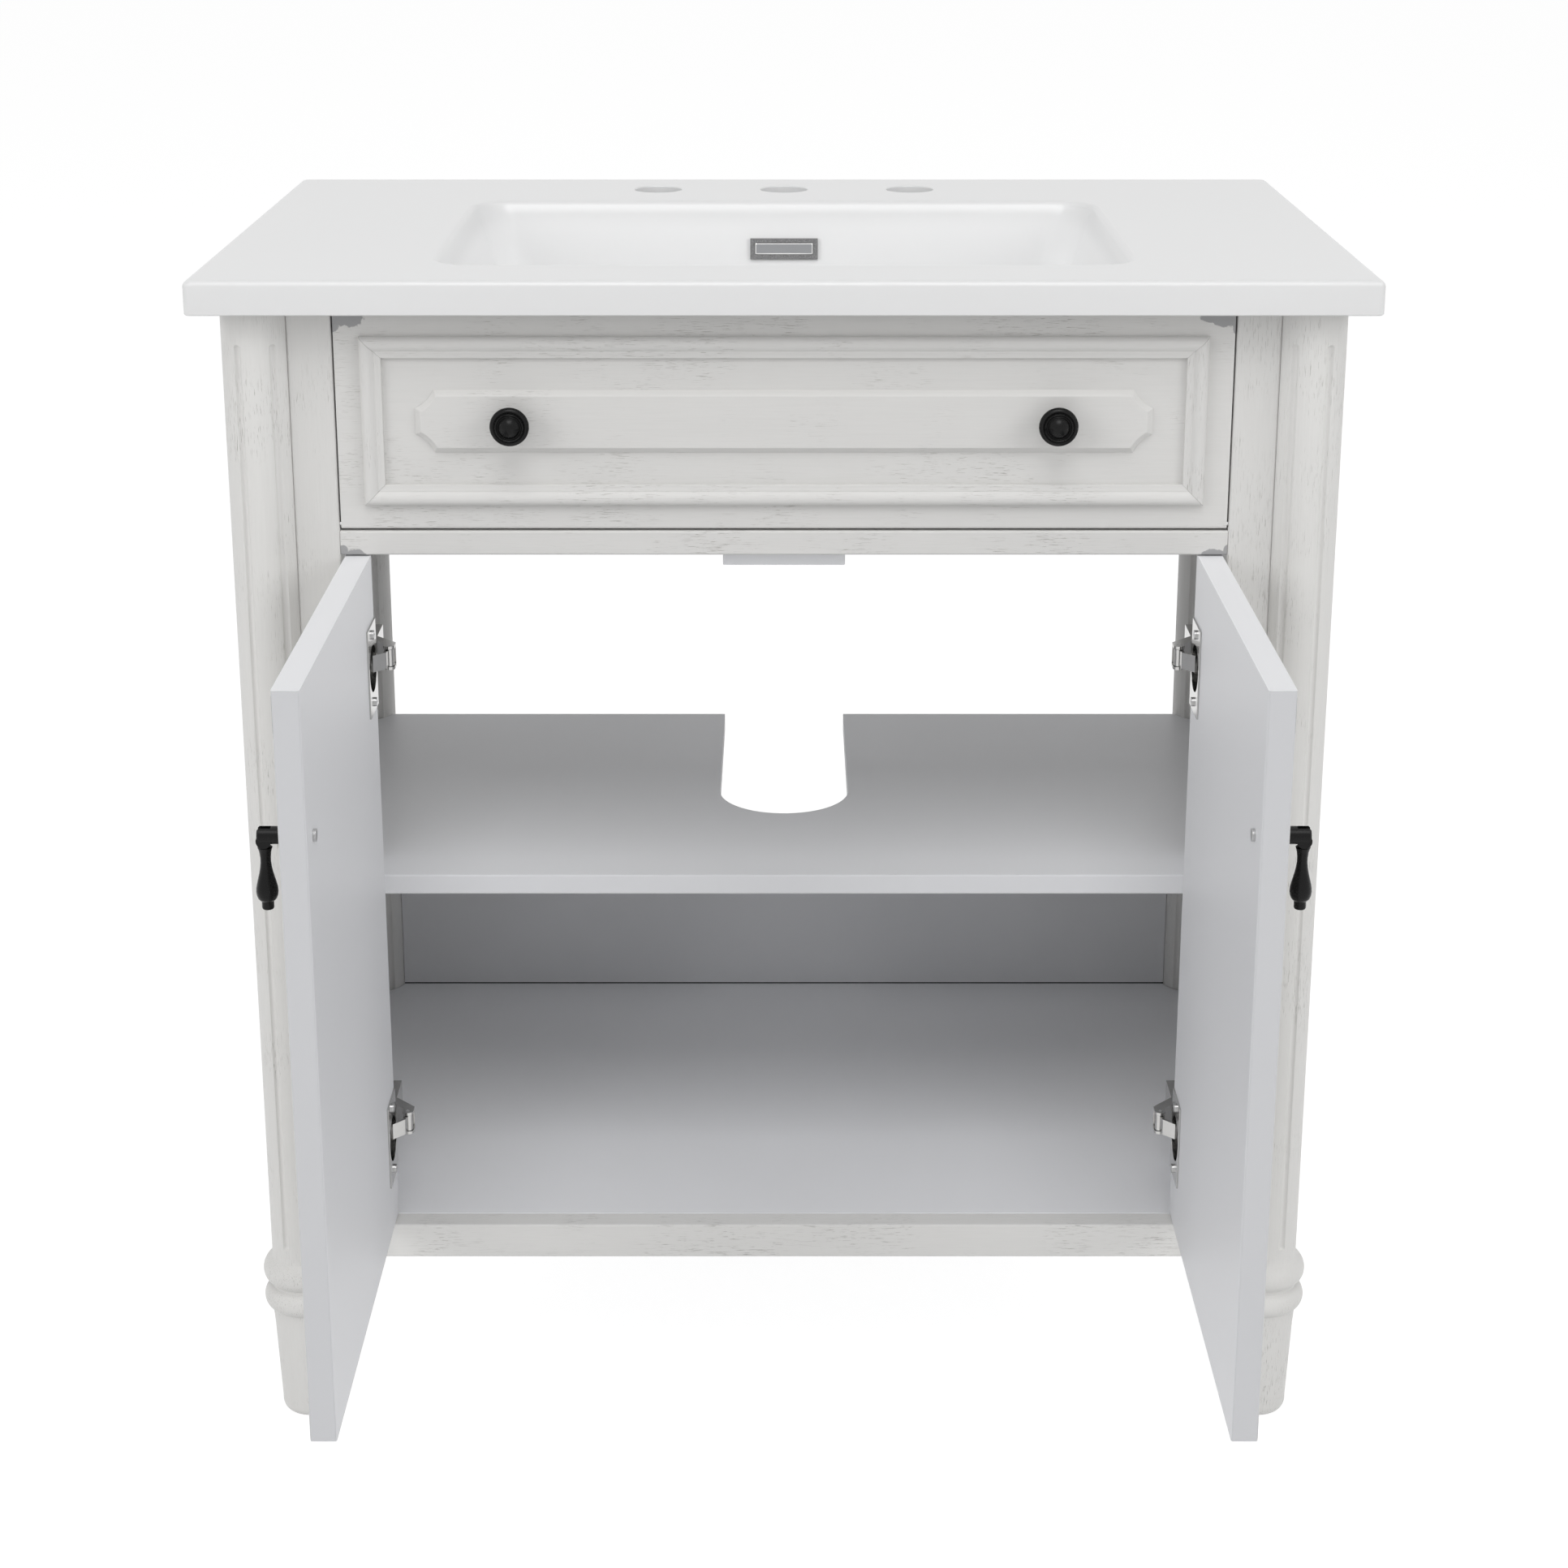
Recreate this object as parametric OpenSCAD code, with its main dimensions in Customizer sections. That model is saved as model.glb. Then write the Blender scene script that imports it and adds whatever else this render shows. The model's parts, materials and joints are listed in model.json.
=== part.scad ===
// Vanity unit: an open-legged cabinet under a one-piece ceramic top with a sunken basin.
// Millimetres. +Z is up and the front faces -Y. The doors stand open at right angles.
// Origin: the middle of the footprint of the whole unit, doors open, on the floor.

/* [Ceramic top] */
// Width of the top
top_w = 787; // [740:1:900]
// Depth of the top
top_d = 483; // [470:1:540]
// Thickness of the top
top_t = 23; // [16:1:32]
// Height of the top's upper face above the floor
top_z = 857; // [840:1:900]
// Rounding of the top's edges
top_r = 4; // [2:0.5:6]
// Distance from the top's ends to the basin's mouth
basin_side = 158.5; // [148.5:0.5:193.5]
// Distance from the top's front edge to the basin's mouth
basin_front = 68; // [62:1:90]
// Distance from the top's back edge to the basin's mouth
basin_behind = 129; // [123:1:153]
// Depth of the basin below the top's upper face
basin_depth = 127; // [100:1:132]
// Slope of the basin's side and front walls from upright
basin_side_slope = 19; // [12:1:22]
// Slope of the basin's back wall from upright
basin_back_slope = 15; // [10:1:20]
// Wall thickness of the basin
basin_wall = 10; // [7:0.5:12]
// Radius where the basin's walls meet its floor
basin_floor_r = 28; // [18:1:34]
// Radius of the corners of the basin's mouth
basin_corner_r = 26; // [18:1:40]
// Width of the eased lip round the basin's mouth
basin_lip = 4; // [2:0.5:6]
// Diameter of each tap hole
tap_d = 37; // [32:0.5:40]
// Distance between the middle tap hole and an outer one
tap_pitch = 100; // [90:1:110]
// Distance from the top's back edge to the row of tap holes
tap_back = 59; // [43:1:71]
// Diameter of the drain hole
drain_d = 45; // [38:0.5:50]

/* [Overflow cover] */
// Width of the overflow cover
over_w = 52; // [40:1:70]
// Height of the overflow cover
over_h = 16; // [12:0.5:20]
// Thickness of the overflow cover
over_t = 2.4; // [1.8:0.1:3.5]
// Width of the cover's raised rim
over_rim = 3.4; // [1:0.1:4]
// Distance down the basin wall from the top to the cover's centre
over_drop = 35; // [30:1:50]
// Radius of the cover's stub
over_stub_r = 5; // [3:0.5:6]
// Clearance between the cover's stub and its hole
over_fit = 0.1; // [0.05:0.01:0.3]
// Gap between the cover and the basin's wall
over_seat = 0.05; // [0.02:0.01:0.2]

/* [Legs] */
// Radius of a leg's column
leg_r = 23.5; // [20:0.5:26]
// Distance from the top's ends to a leg's centre
leg_in = 39.8; // [33.5:0.1:48.5]
// Distance from the top's front edge to a front leg's centre
leg_front_y = 40.5; // [36:0.5:46]
// Distance from the top's back edge to a back leg's centre
leg_back_in = 33; // [31:0.5:43]
// Number of flutes round a leg
flute_n = 6; // [4:1:8]
// Radius of a flute
flute_r = 2.6; // [1.5:0.1:3]
// Distance of a flute's centre outside the column's surface
flute_out = 0.6; // [0.2:0.1:1.2]
// Height of the bottom of the flutes
flute_bottom = 140; // [136:1:200]
// Distance from the flutes' upper ends to the underside of the top
flute_top_gap = 23; // [10:1:60]
// Turn of the first flute from the front
flute_turn = 36; // [0:1:59]
// Section radius of the upper bead
bead_up_r = 11.6; // [9:0.1:12]
// Outer radius of both beads
bead_out_r = 30.4; // [28:0.1:33]
// Height of the upper bead's middle
bead_up_z = 117.5; // [114:0.5:120]
// Section radius of the lower bead
bead_low_r = 10; // [8:0.1:11]
// Height of the lower bead's middle
bead_low_z = 95.9; // [92:0.1:99]
// Radius of the foot under the beads
foot_top_r = 24.5; // [22:0.1:27]
// Radius of the foot near the floor
foot_low_r = 21.3; // [18:0.1:24]
// Rounding of the foot's lower edge
foot_round = 8; // [5:0.5:10]
// Height at which the foot's taper begins
foot_z = 12; // [11:0.5:20]

/* [Cabinet] */
// Distance from the top's front edge to the face of the cabinet
face_y = 30; // [24:0.5:34]
// Width of the stiles
stile_w = 30; // [23:0.5:43]
// How far a stile reaches into the round of a leg
stile_lap = 1.8; // [0.2:0.1:4.8]
// Thickness of the stiles
stile_t = 18; // [15:0.5:22]
// Rounding of the stiles' and the rails' edges
wood_r = 1.5; // [0.5:0.1:2.5]
// Height of the compartment's floor
floor_z = 162; // [158:1:175]
// Thickness of the boards
board_t = 15; // [12:0.5:16]
// Height of the underside of the bottom rail and the side panels
rail_low_z = 136; // [133:0.5:139]
// Distance from the top's front edge to the bottom rail's front
bottom_rail_y = 17; // [14:0.5:20]
// Height of the opening that the tilting front fills
front_h = 153.5; // [149:0.5:177]
// Height of the middle rail
rail_h = 17; // [14:0.5:18]
// Depth of the middle rail
rail_d = 60; // [40:1:66]
// Distance from a leg's centre to a side panel's inner face
side_panel_in = 7.7; // [5.7:0.1:10.7]
// Thickness of the liners that carry the hinges
liner_t = 16; // [14:0.5:18]
// Depth of the liners behind the stiles
liner_d = 70; // [64:1:80]
// Half width of the door stop
stop_half = 42; // [20:1:60]
// Height of the door stop
stop_h = 12; // [8:0.5:14]
// Depth of the door stop
stop_d = 18; // [12:0.5:24]
// Height of the shelf's upper face
shelf_z = 410; // [360:1:440]
// Distance from the top's front edge to the shelf's front
shelf_y = 79; // [72:0.5:90]
// Distance from the top's back edge to the back of the shelf and floor
back_in = 39; // [37:0.5:47]
// Radius of the shelf's cut-out for the pipes
slot_r = 50; // [30:1:80]
// Distance from the top's front edge to the cut-out's round end
slot_y = 205; // [180:1:260]
// Radius of a shelf pin
shelf_pin_r = 2.5; // [2:0.1:3]
// Length of a shelf pin outside the side panel
shelf_pin_out = 9; // [7:0.5:12]
// Length of a shelf pin inside the side panel
shelf_pin_in = 8; // [6:0.5:10]
// Height of the lower back panel above the compartment's floor
back_low_h = 138; // [100:1:180]
// Height of the upper back rail
back_rail_h = 100; // [60:1:120]
// Diameter of the wall screw holes in the upper back rail
wall_hole_d = 6; // [4:0.5:8]
// Distance from the middle of the unit to a wall screw hole
wall_hole_x = 200; // [150:1:260]

/* [Doors] */
// Thickness of the doors
door_t = 17; // [16.5:0.1:18]
// Gap between a closed door and its stile
door_gap = 1.5; // [1.2:0.1:2]
// Gap between the two closed doors
door_mid_gap = 2; // [1.5:0.1:4]
// Gap between a door and the floor of the compartment
door_gap_low = 2; // [1:0.1:4]
// Gap between a door and the middle rail
door_gap_top = 1; // [0.8:0.1:3]
// Gap between a closed door's inner face and its stop
stop_gap = 0.5; // [0.3:0.1:1]
// Width of the plain margin round a door's moulding
door_margin = 42; // [40:1:60]
// Distance from the doors' moulding to their raised plaque
door_plaque_gap = 26; // [16:1:40]

/* [Tilting front] */
// Gap between the tilting front and the stiles
tilt_gap = 1.2; // [0.8:0.1:2]
// Gap between the tilting front and the middle rail
tilt_gap_low = 1.5; // [1.4:0.1:3]
// Gap between the tilting front and the top
tilt_gap_top = 2; // [1.8:0.1:3]
// Thickness of the tilting front
tilt_t = 16; // [15:0.5:18]
// Rounding of the tilting front's long edges
tilt_r = 2; // [1:0.5:2.5]
// Radius of the pivot pins
tilt_pin_r = 1.5; // [1.2:0.1:1.8]
// Length of a pivot pin on each side of the gap
tilt_pin_len = 10; // [8:0.5:14]
// Distance from the front's corner to the pivot pin, back and up
tilt_pin_in = 3; // [2.8:0.1:3.2]
// Distance from the front's ends to its moulding
tilt_margin_x = 17; // [14:0.5:30]
// Distance from the front's long edges to its moulding
tilt_margin_z = 17; // [10:0.5:18]
// Distance from the moulding to the plaque's ends
plaque_gap_x = 21.5; // [14:0.5:40]
// Distance from the moulding to the plaque's long edges
plaque_gap_z = 22; // [16:0.5:24]
// Depth of the tray behind the front
tray_d = 34; // [24:1:36]
// Height of the tray
tray_h = 50; // [30:1:54]
// Height of the tray's floor above the bottom of the front
tray_up = 8; // [7:0.5:12]
// Distance from the front's ends to the tray
tray_in = 22; // [18:1:60]
// Wall thickness of the tray
tray_wall = 2; // [1.5:0.1:3]

/* [Moulding and plaque] */
// Width of the moulding's outer bead
bead_w = 10; // [6:0.1:11]
// Height of the moulding's outer bead
bead_h = 6.5; // [5:0.1:7.5]
// Width of the hollow between the moulding's beads
hollow_w = 1; // [0.8:0.1:4]
// Height of the hollow's floor
hollow_h = 3; // [0.8:0.1:3.4]
// Width of the moulding's inner bead
small_w = 3.5; // [2.5:0.1:5]
// Height of the moulding's inner bead
small_h = 3.8; // [2.6:0.1:4.4]
// Thickness of the raised plaque
plaque_t = 4; // [3:0.1:6]
// Width of the plaque's bevel
plaque_bevel = 5.2; // [2:0.1:6]
// Length of a notch along each side of the plaque's corner
plaque_notch = 12.6; // [8:0.1:15]
// Distance of a notch's centre outside the plaque's corner
plaque_notch_out = 10; // [6:0.5:16]

/* [Knobs] */
// Distance from the side of the opening to a knob
knob_in = 119; // [87:1:152]
// Diameter of a knob
knob_d = 26.4; // [22:0.1:32]
// Radius of a knob's base
knob_base_r = 8; // [6:0.1:9]
// Thickness of a knob's base
knob_base_t = 2; // [1.5:0.1:3]
// Radius of a knob's neck
knob_neck_r = 5; // [4:0.1:6]
// Length of a knob's neck
knob_neck_l = 9; // [6:0.5:12]
// Thickness of a knob's head
knob_head_t = 6; // [5:0.1:8]
// Radius of a knob's middle ring
knob_ring_r = 9.8; // [9:0.1:10.5]
// Height of a knob's middle ring
knob_ring_h = 1.2; // [0.8:0.1:2]
// Radius of a knob's dome
knob_dome_r = 7.8; // [6:0.1:8.4]
// Height of a knob's dome
knob_dome_h = 3.4; // [2:0.1:4]

/* [Door pulls] */
// Distance from a door's free edge to the pull
pull_in = 23.3; // [20:0.1:26]
// Distance from the middle rail down to the pull's head
pull_down = 99.5; // [63.5:0.5:143.5]
// Width of the pull's plate
pull_plate_w = 18; // [14:0.5:22]
// Height of the pull's plate
pull_plate_h = 22; // [18:0.5:28]
// Drop of the plate's middle below the head's
pull_plate_down = 4; // [0:0.5:5]
// Thickness of the pull's plate
pull_plate_t = 2.2; // [1.6:0.1:3]
// Radius of the pull's head
pull_head_r = 5.5; // [5:0.1:6.5]
// Length of the pull's head from the door
pull_head_l = 16.5; // [14:0.1:17]
// Distance from the door's face to the pull's hinge pin
pull_pin_out = 12.4; // [12:0.1:14]
// Drop of the pin below the head's centre
pull_pin_drop = 2.6; // [1:0.1:3]
// Radius of the pull's hinge pin
pull_pin_r = 1.2; // [1:0.1:1.5]
// Radius of the cheeks that hold the pin
cheek_r = 4.6; // [4.2:0.1:5]
// Thickness of a cheek
cheek_t = 2.5; // [1.8:0.1:3]
// Thickness of the drop's eye
eye_t = 4; // [3:0.1:5]
// Radius of the drop's eye
eye_r = 3.8; // [3.2:0.1:4]
// Play between the eye and each cheek
eye_play = 0.3; // [0.2:0.05:0.5]
// Radius of the drop's collar
drop_collar_r = 4.5; // [3.5:0.1:5]
// Radius of the drop's waist
drop_waist_r = 3.2; // [2.4:0.1:3.4]
// Radius of the drop's bulb
drop_bulb_r = 6.7; // [5:0.1:7.5]
// Radius of the drop's tip
drop_tip_r = 3.7; // [2.5:0.1:4.5]
// Length of the drop below the pin
drop_l = 45; // [38:0.5:52]

/* [Hinges] */
// Height of the lower hinges
hinge_low_z = 232.3; // [215:0.1:260]
// Distance from the middle rail down to the upper hinges
hinge_down = 76.5; // [63.5:0.5:103.5]
// Distance from a door's hinge edge to the cup's centre
cup_in = 20.2; // [20:0.1:20.6]
// Outer radius of the cup
cup_r = 17.5; // [17.2:0.1:18]
// Wall thickness of the cup
cup_wall = 1.2; // [0.8:0.1:1.4]
// Depth of the cup in the door
cup_depth = 11.5; // [11:0.1:12.5]
// Thickness of the cup's flange
flange_t = 1.2; // [0.8:0.1:1.4]
// Height of the cup's flange
flange_h = 62; // [58:1:66]
// Width of the cup's flange
flange_w = 35.4; // [12:0.1:36]
// Distance between a cup's centre and each of its screws
cup_screw_z = 24; // [23:0.5:26]
// Radius of the hinge screws' heads
screw_head_r = 3.2; // [2.8:0.1:3.6]
// Radius of the hinge screws' shanks
screw_r = 1.5; // [1.2:0.1:1.8]
// Height of a screw's head
screw_head_t = 1.6; // [1:0.1:2]
// Depth of the screws in the wood
screw_l = 11; // [8:0.5:12]
// Height of the hinge's plate
plate_h = 48; // [44:1:54]
// Distance between a plate's centre and each of its screws
plate_screw_z = 17; // [15:0.5:18]
// Thickness of the hinge's plate
plate_t = 2; // [1.5:0.1:2.5]
// Half height of the hinge's arm
arm_half = 8.5; // [8:0.1:9.5]
// Half height of the slot in the arm's end
arm_slot = 6.3; // [6:0.1:6.5]
// Half height of the link
link_half = 5.9; // [5:0.1:6]
// Thickness of the link's strap
link_t = 2.4; // [1.8:0.1:2.6]
// Radius of the hinge pin
hinge_pin_r = 1.4; // [1.2:0.1:1.6]

/* [Fits] */
// Radial clearance of a running pin
run_fit = 0.05; // [0.03:0.01:0.1]
// Radial clearance of a fixed pin or screw
fixed_fit = 0.02; // [0.01:0.01:0.05]
// Clearance between wooden pieces cut to each other
wood_fit = 0.2; // [0.1:0.05:0.4]

/* [Hidden] */
$fn = 48;
eps = 0.01;
white_ceramic = [0.93, 0.94, 0.94];
paint = [0.82, 0.81, 0.79];
paint_shade = [0.70, 0.69, 0.67];
board_grey = [0.72, 0.72, 0.73];
black = [0.13, 0.13, 0.13];
nickel = [0.75, 0.75, 0.74];
steel = [0.60, 0.60, 0.60];

// Places that follow from the top's size
basin_half = top_w / 2 - basin_side;
basin_back = top_d - basin_behind;
tap_y = top_d - tap_back;
leg_x = top_w / 2 - leg_in;
leg_back_y = top_d - leg_back_in;
stile_out = leg_x - leg_r + stile_lap;
open_half = stile_out - stile_w;
side_in = leg_x - side_panel_in;
back_y = top_d - back_in;
rail_z = top_z - top_t - front_h - rail_h;
hinge_up_z = rail_z - hinge_down;
pull_z = rail_z - pull_down;
knob_x = open_half - knob_in;

// Hinge geometry, in from the stile's edge and back from the cabinet's face
pivot_in = 5.25;
pivot_back = 2.45;
link_in = 28.4;
link_back = 12.2;
link_knee = [26.4, 4.0];
link_tip = [18.6, -3.7];
link_hub_r = 3.3;
arm_end_r = 4.0;
arm_low = 11;
arm_high = 17.5;
arm_back = 62;
arm_points = [[arm_low, arm_back], [arm_high, arm_back], [arm_high, 34],
    [link_in + arm_end_r, 19], [link_in + arm_end_r, link_back],
    [link_in - arm_end_r, link_back], [link_in - arm_end_r, 16.4], [15, 25.5],
    [arm_low, 25.5]];
slot_back = 16.6;
plate_front = 24;
plate_back = 61;
boss_front = 28;
boss_back = 59;
hinge_zs = [hinge_low_z, hinge_up_z];

// Door sizes, and the unit's depth with the doors open
door_l = open_half - door_gap - door_mid_gap / 2;
door_end = pivot_in + pivot_back - door_gap;
door_low = floor_z + door_gap_low;
door_high = rail_z - door_gap_top;
door_h = door_high - door_low;
front_reach = face_y + door_end - door_l;
y_mid = (top_d + front_reach) / 2;
pivot_x = open_half - pivot_in;
pivot_y = face_y + pivot_back;

under_top = top_z - top_t;
leg_ys = [leg_front_y, leg_back_y];
board_z = floor_z - board_t;
panel_low = rail_low_z;
liner_back = face_y + stile_t + liner_d;
back_board_y = back_y;

// Tilting front
tilt_half = open_half - tilt_gap;
tilt_low = rail_z + rail_h + tilt_gap_low;
tilt_high = under_top - tilt_gap_top;
tilt_h = tilt_high - tilt_low;
tilt_pin_y = face_y + tilt_pin_in;
tilt_pin_z = tilt_low + tilt_pin_in;
frame_w = bead_w + hollow_w + small_w;
tilt_frame_half = tilt_half - tilt_margin_x;
tilt_frame_h = tilt_h - 2 * tilt_margin_z;
tilt_plaque_half = tilt_frame_half - frame_w - plaque_gap_x;
tilt_plaque_h = tilt_frame_h - 2 * (frame_w + plaque_gap_z);
tilt_mid_z = (tilt_low + tilt_high) / 2;
knob_z = tilt_mid_z;
knob_screw_r = 2;
knob_screw_in = 6;
knob_screw_head_r = 4;
knob_screw_head_t = 2.4;

// Doors, drawn closed and turned open about their pivots
door_x0 = -open_half + door_gap;
door_x1 = door_x0 + door_l;
door_mid_x = (door_x0 + door_x1) / 2;
door_mid_z = (door_low + door_high) / 2;
door_back = face_y + door_t;
door_frame_w = door_l - 2 * door_margin;
door_frame_h = door_h - 2 * door_margin;
door_plaque_w = door_frame_w - 2 * (frame_w + door_plaque_gap);
door_plaque_h = door_frame_h - 2 * (frame_w + door_plaque_gap);
cup_x = door_x0 + cup_in;
pull_x = door_x1 - pull_in;
pull_pin_y = face_y - pull_pin_out;
pull_pin_z = pull_z - pull_pin_drop;
pull_screw_r = 2;
pull_screw_head_r = 4;
pull_screw_head_t = 2;
pull_screw_in = 6;
cheek_in = eye_t / 2 + eye_play;

// Basin: the walls lean in, tangent to the round corners of the floor
side_k = (basin_floor_r + (basin_depth - basin_floor_r) * sin(basin_side_slope))
    / cos(basin_side_slope);
back_k = (basin_floor_r + (basin_depth - basin_floor_r) * sin(basin_back_slope))
    / cos(basin_back_slope);
bowl_x = basin_half - side_k;
bowl_y0 = basin_front + side_k;
bowl_y1 = basin_back - back_k;
bowl_z = top_z - basin_depth + basin_floor_r;
shell_drop = top_t - 4;
shell_side = basin_wall / cos(basin_side_slope) - shell_drop * tan(basin_side_slope);
shell_back = basin_wall / cos(basin_back_slope) - shell_drop * tan(basin_back_slope);
drain_y = (bowl_y0 + bowl_y1) / 2;
over_y = basin_back - over_drop * tan(basin_back_slope);
over_z = top_z - over_drop;

// Everything below is drawn from the top's front edge and moved to the origin
module place() {
    translate([0, -y_mid, 0]) children();
}

module mirrored() {
    children();
    mirror([1, 0, 0]) children();
}

// A bar along X with its four long edges rounded
module bar_x(x0, x1, y0, y1, z0, z1, r) {
    l = x1 - x0;
    translate([x0, y0 + r, z0]) cube([l, y1 - y0 - 2 * r, z1 - z0]);
    translate([x0, y0, z0 + r]) cube([l, y1 - y0, z1 - z0 - 2 * r]);
    for (y = [y0 + r, y1 - r], z = [z0 + r, z1 - r]) {
        translate([x0, y, z]) rotate([0, 90, 0]) cylinder(h = l, r = r);
    }
}

// A board standing up with its four upright edges rounded
module bar_z(x0, x1, y0, y1, z0, z1, r) {
    h = z1 - z0;
    translate([x0 + r, y0, z0]) cube([x1 - x0 - 2 * r, y1 - y0, h]);
    translate([x0, y0 + r, z0]) cube([x1 - x0, y1 - y0 - 2 * r, h]);
    for (x = [x0 + r, x1 - r], y = [y0 + r, y1 - r]) {
        translate([x, y, z0]) cylinder(h = h, r = r);
    }
}

// A flat slab with its upright and upper edges rounded
module soft_slab(w, d, h, r) {
    a = w / 2 - r;
    translate([-a, 0, 0]) cube([2 * a, d, h - r]);
    translate([-w / 2, r, 0]) cube([w, d - 2 * r, h - r]);
    translate([-a, r, 0]) cube([2 * a, d - 2 * r, h]);
    for (x = [-a, a], y = [r, d - r]) {
        translate([x, y, 0]) cylinder(h = h - r, r = r);
        translate([x, y, h - r]) sphere(r = r);
    }
    for (y = [r, d - r]) {
        translate([-a, y, h - r]) rotate([0, 90, 0]) cylinder(h = 2 * a, r = r);
    }
    for (x = [-a, a]) {
        translate([x, r, h - r]) rotate([-90, 0, 0]) cylinder(h = d - 2 * r, r = r);
    }
}

// Room round the four legs, for the boards that are cut to them
module leg_room(z0, z1) {
    for (x = [-leg_x, leg_x], y = leg_ys) {
        translate([x, y, z0]) cylinder(h = z1 - z0, r = leg_r + wood_fit);
    }
}

// The round corners of one level of the bowl
module bowl_level(x, y0, y1, z, r, h) {
    for (cx = [-x, x], cy = [y0, y1]) {
        translate([cx, cy, z]) cylinder(h = h, r = r, $fn = 32);
    }
}

module bowl_floor(r) {
    for (cx = [-bowl_x, bowl_x], cy = [bowl_y0, bowl_y1]) {
        translate([cx, cy, bowl_z]) sphere(r = r, $fn = 32);
    }
}

module bowl_room() {
    r = basin_corner_r;
    hull() {
        bowl_level(basin_half - r, basin_front + r, basin_back - r, top_z - eps, r, eps);
        bowl_floor(basin_floor_r);
    }
    hull() {
        bowl_level(basin_half - r, basin_front + r, basin_back - r,
            top_z - basin_lip, r, eps);
        bowl_level(basin_half - r, basin_front + r, basin_back - r, top_z,
            r + basin_lip, basin_lip);
    }
}

module bowl_shell() {
    r = basin_corner_r;
    hull() {
        bowl_level(basin_half + shell_side - r, basin_front - shell_side + r,
            basin_back + shell_back - r, top_z - shell_drop, r, 1);
        bowl_floor(basin_floor_r + basin_wall);
    }
}

module sink_top() {
    color(white_ceramic) place() difference() {
        union() {
            translate([0, 0, under_top]) soft_slab(top_w, top_d, top_t, top_r);
            bowl_shell();
        }
        bowl_room();
        for (x = [-tap_pitch, 0, tap_pitch]) {
            translate([x, tap_y, under_top - 1]) cylinder(h = top_t + 2, d = tap_d);
        }
        translate([0, drain_y, top_z - basin_depth - basin_wall - 2])
            cylinder(h = basin_wall + 4, d = drain_d);
        translate([0, over_y, over_z]) rotate([-90 - basin_back_slope, 0, 0])
            translate([0, 0, -eps]) cylinder(h = basin_wall - 2, r = over_stub_r + over_fit);
    }
}

// A plate on the basin's back wall, with a raised rim and a stub in the wall
module overflow_cover() {
    color(nickel) place() translate([0, over_y, over_z])
        rotate([-90 - basin_back_slope, 0, 0]) {
        difference() {
            translate([-over_w / 2, -over_h / 2, -over_t - over_seat])
                cube([over_w, over_h, over_t]);
            translate([-over_w / 2 + over_rim, -over_h / 2 + over_rim, -over_t - over_seat - 1])
                cube([over_w - 2 * over_rim, over_h - 2 * over_rim, 2]);
        }
        translate([0, 0, -over_seat - eps])
            cylinder(h = basin_wall - 3 + over_seat, r = over_stub_r);
    }
}

// A turned leg: fluted column, two beads and a tapering foot
module leg(sx, y, turn) {
    color(paint) place() translate([sx * leg_x, y, 0]) {
        difference() {
            translate([0, 0, bead_low_z]) cylinder(h = under_top - bead_low_z, r = leg_r);
            for (i = [0:flute_n - 1]) {
                rotate([0, 0, sx * (-90 - turn + i * 360 / flute_n)])
                    translate([leg_r + flute_out, 0, 0]) flute();
            }
        }
        translate([0, 0, bead_up_z]) rotate_extrude()
            translate([bead_out_r - bead_up_r, 0]) circle(r = bead_up_r);
        translate([0, 0, bead_low_z]) rotate_extrude()
            translate([bead_out_r - bead_low_r, 0]) circle(r = bead_low_r);
        translate([0, 0, foot_z])
            cylinder(h = bead_low_z - foot_z, r1 = foot_low_r, r2 = foot_top_r);
        translate([0, 0, foot_round]) cylinder(h = foot_z - foot_round, r = foot_low_r);
        cylinder(h = foot_round, r = foot_low_r - foot_round);
        translate([0, 0, foot_round]) rotate_extrude()
            translate([foot_low_r - foot_round, 0]) circle(r = foot_round);
    }
}

module flute() {
    flute_h = under_top - flute_top_gap - flute_bottom - 2 * flute_r;
    translate([0, 0, flute_bottom + flute_r]) {
        cylinder(h = flute_h, r = flute_r);
        sphere(r = flute_r);
        translate([0, 0, flute_h]) sphere(r = flute_r);
    }
}

module stile(sx) {
    color(paint) place() difference() {
        mirror([sx > 0 ? 0 : 1, 0, 0])
            bar_z(open_half, stile_out, face_y, face_y + stile_t, floor_z, under_top, wood_r);
        leg_room(floor_z - 1, under_top + 1);
        translate([sx * open_half, tilt_pin_y, tilt_pin_z]) rotate([0, sx * 90, 0])
            translate([0, 0, -eps]) cylinder(h = tilt_pin_len + eps, r = tilt_pin_r + fixed_fit);
    }
}

module middle_rail() {
    color(paint) place() bar_x(-open_half, open_half, face_y, face_y + rail_d,
        rail_z, rail_z + rail_h, wood_r);
}

module door_stop() {
    color(board_grey) place() translate([-stop_half, door_back + stop_gap, rail_z - stop_h])
        cube([2 * stop_half, stop_d, stop_h]);
}

module bottom_rail() {
    color(paint_shade) place() difference() {
        bar_x(-side_in, side_in, bottom_rail_y, bottom_rail_y + stile_t,
            rail_low_z, floor_z, wood_r);
        leg_room(rail_low_z - 1, floor_z + 1);
        mirrored() translate([leg_x - leg_r, bottom_rail_y - 1, rail_low_z - 1])
            cube([leg_r, leg_front_y - bottom_rail_y + leg_r, floor_z - rail_low_z + 2]);
    }
}

module side_panel(sx) {
    color(paint_shade) place() difference() {
        mirror([sx > 0 ? 0 : 1, 0, 0]) translate([side_in, leg_front_y, panel_low])
            cube([board_t, leg_back_y - leg_front_y, under_top - panel_low]);
        leg_room(panel_low - 1, under_top + 1);
        for (y = shelf_pin_ys) {
            translate([sx * side_in, y, shelf_pin_z]) rotate([0, sx * 90, 0])
                translate([0, 0, -eps])
                cylinder(h = shelf_pin_in + eps, r = shelf_pin_r + fixed_fit);
        }
    }
}

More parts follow.
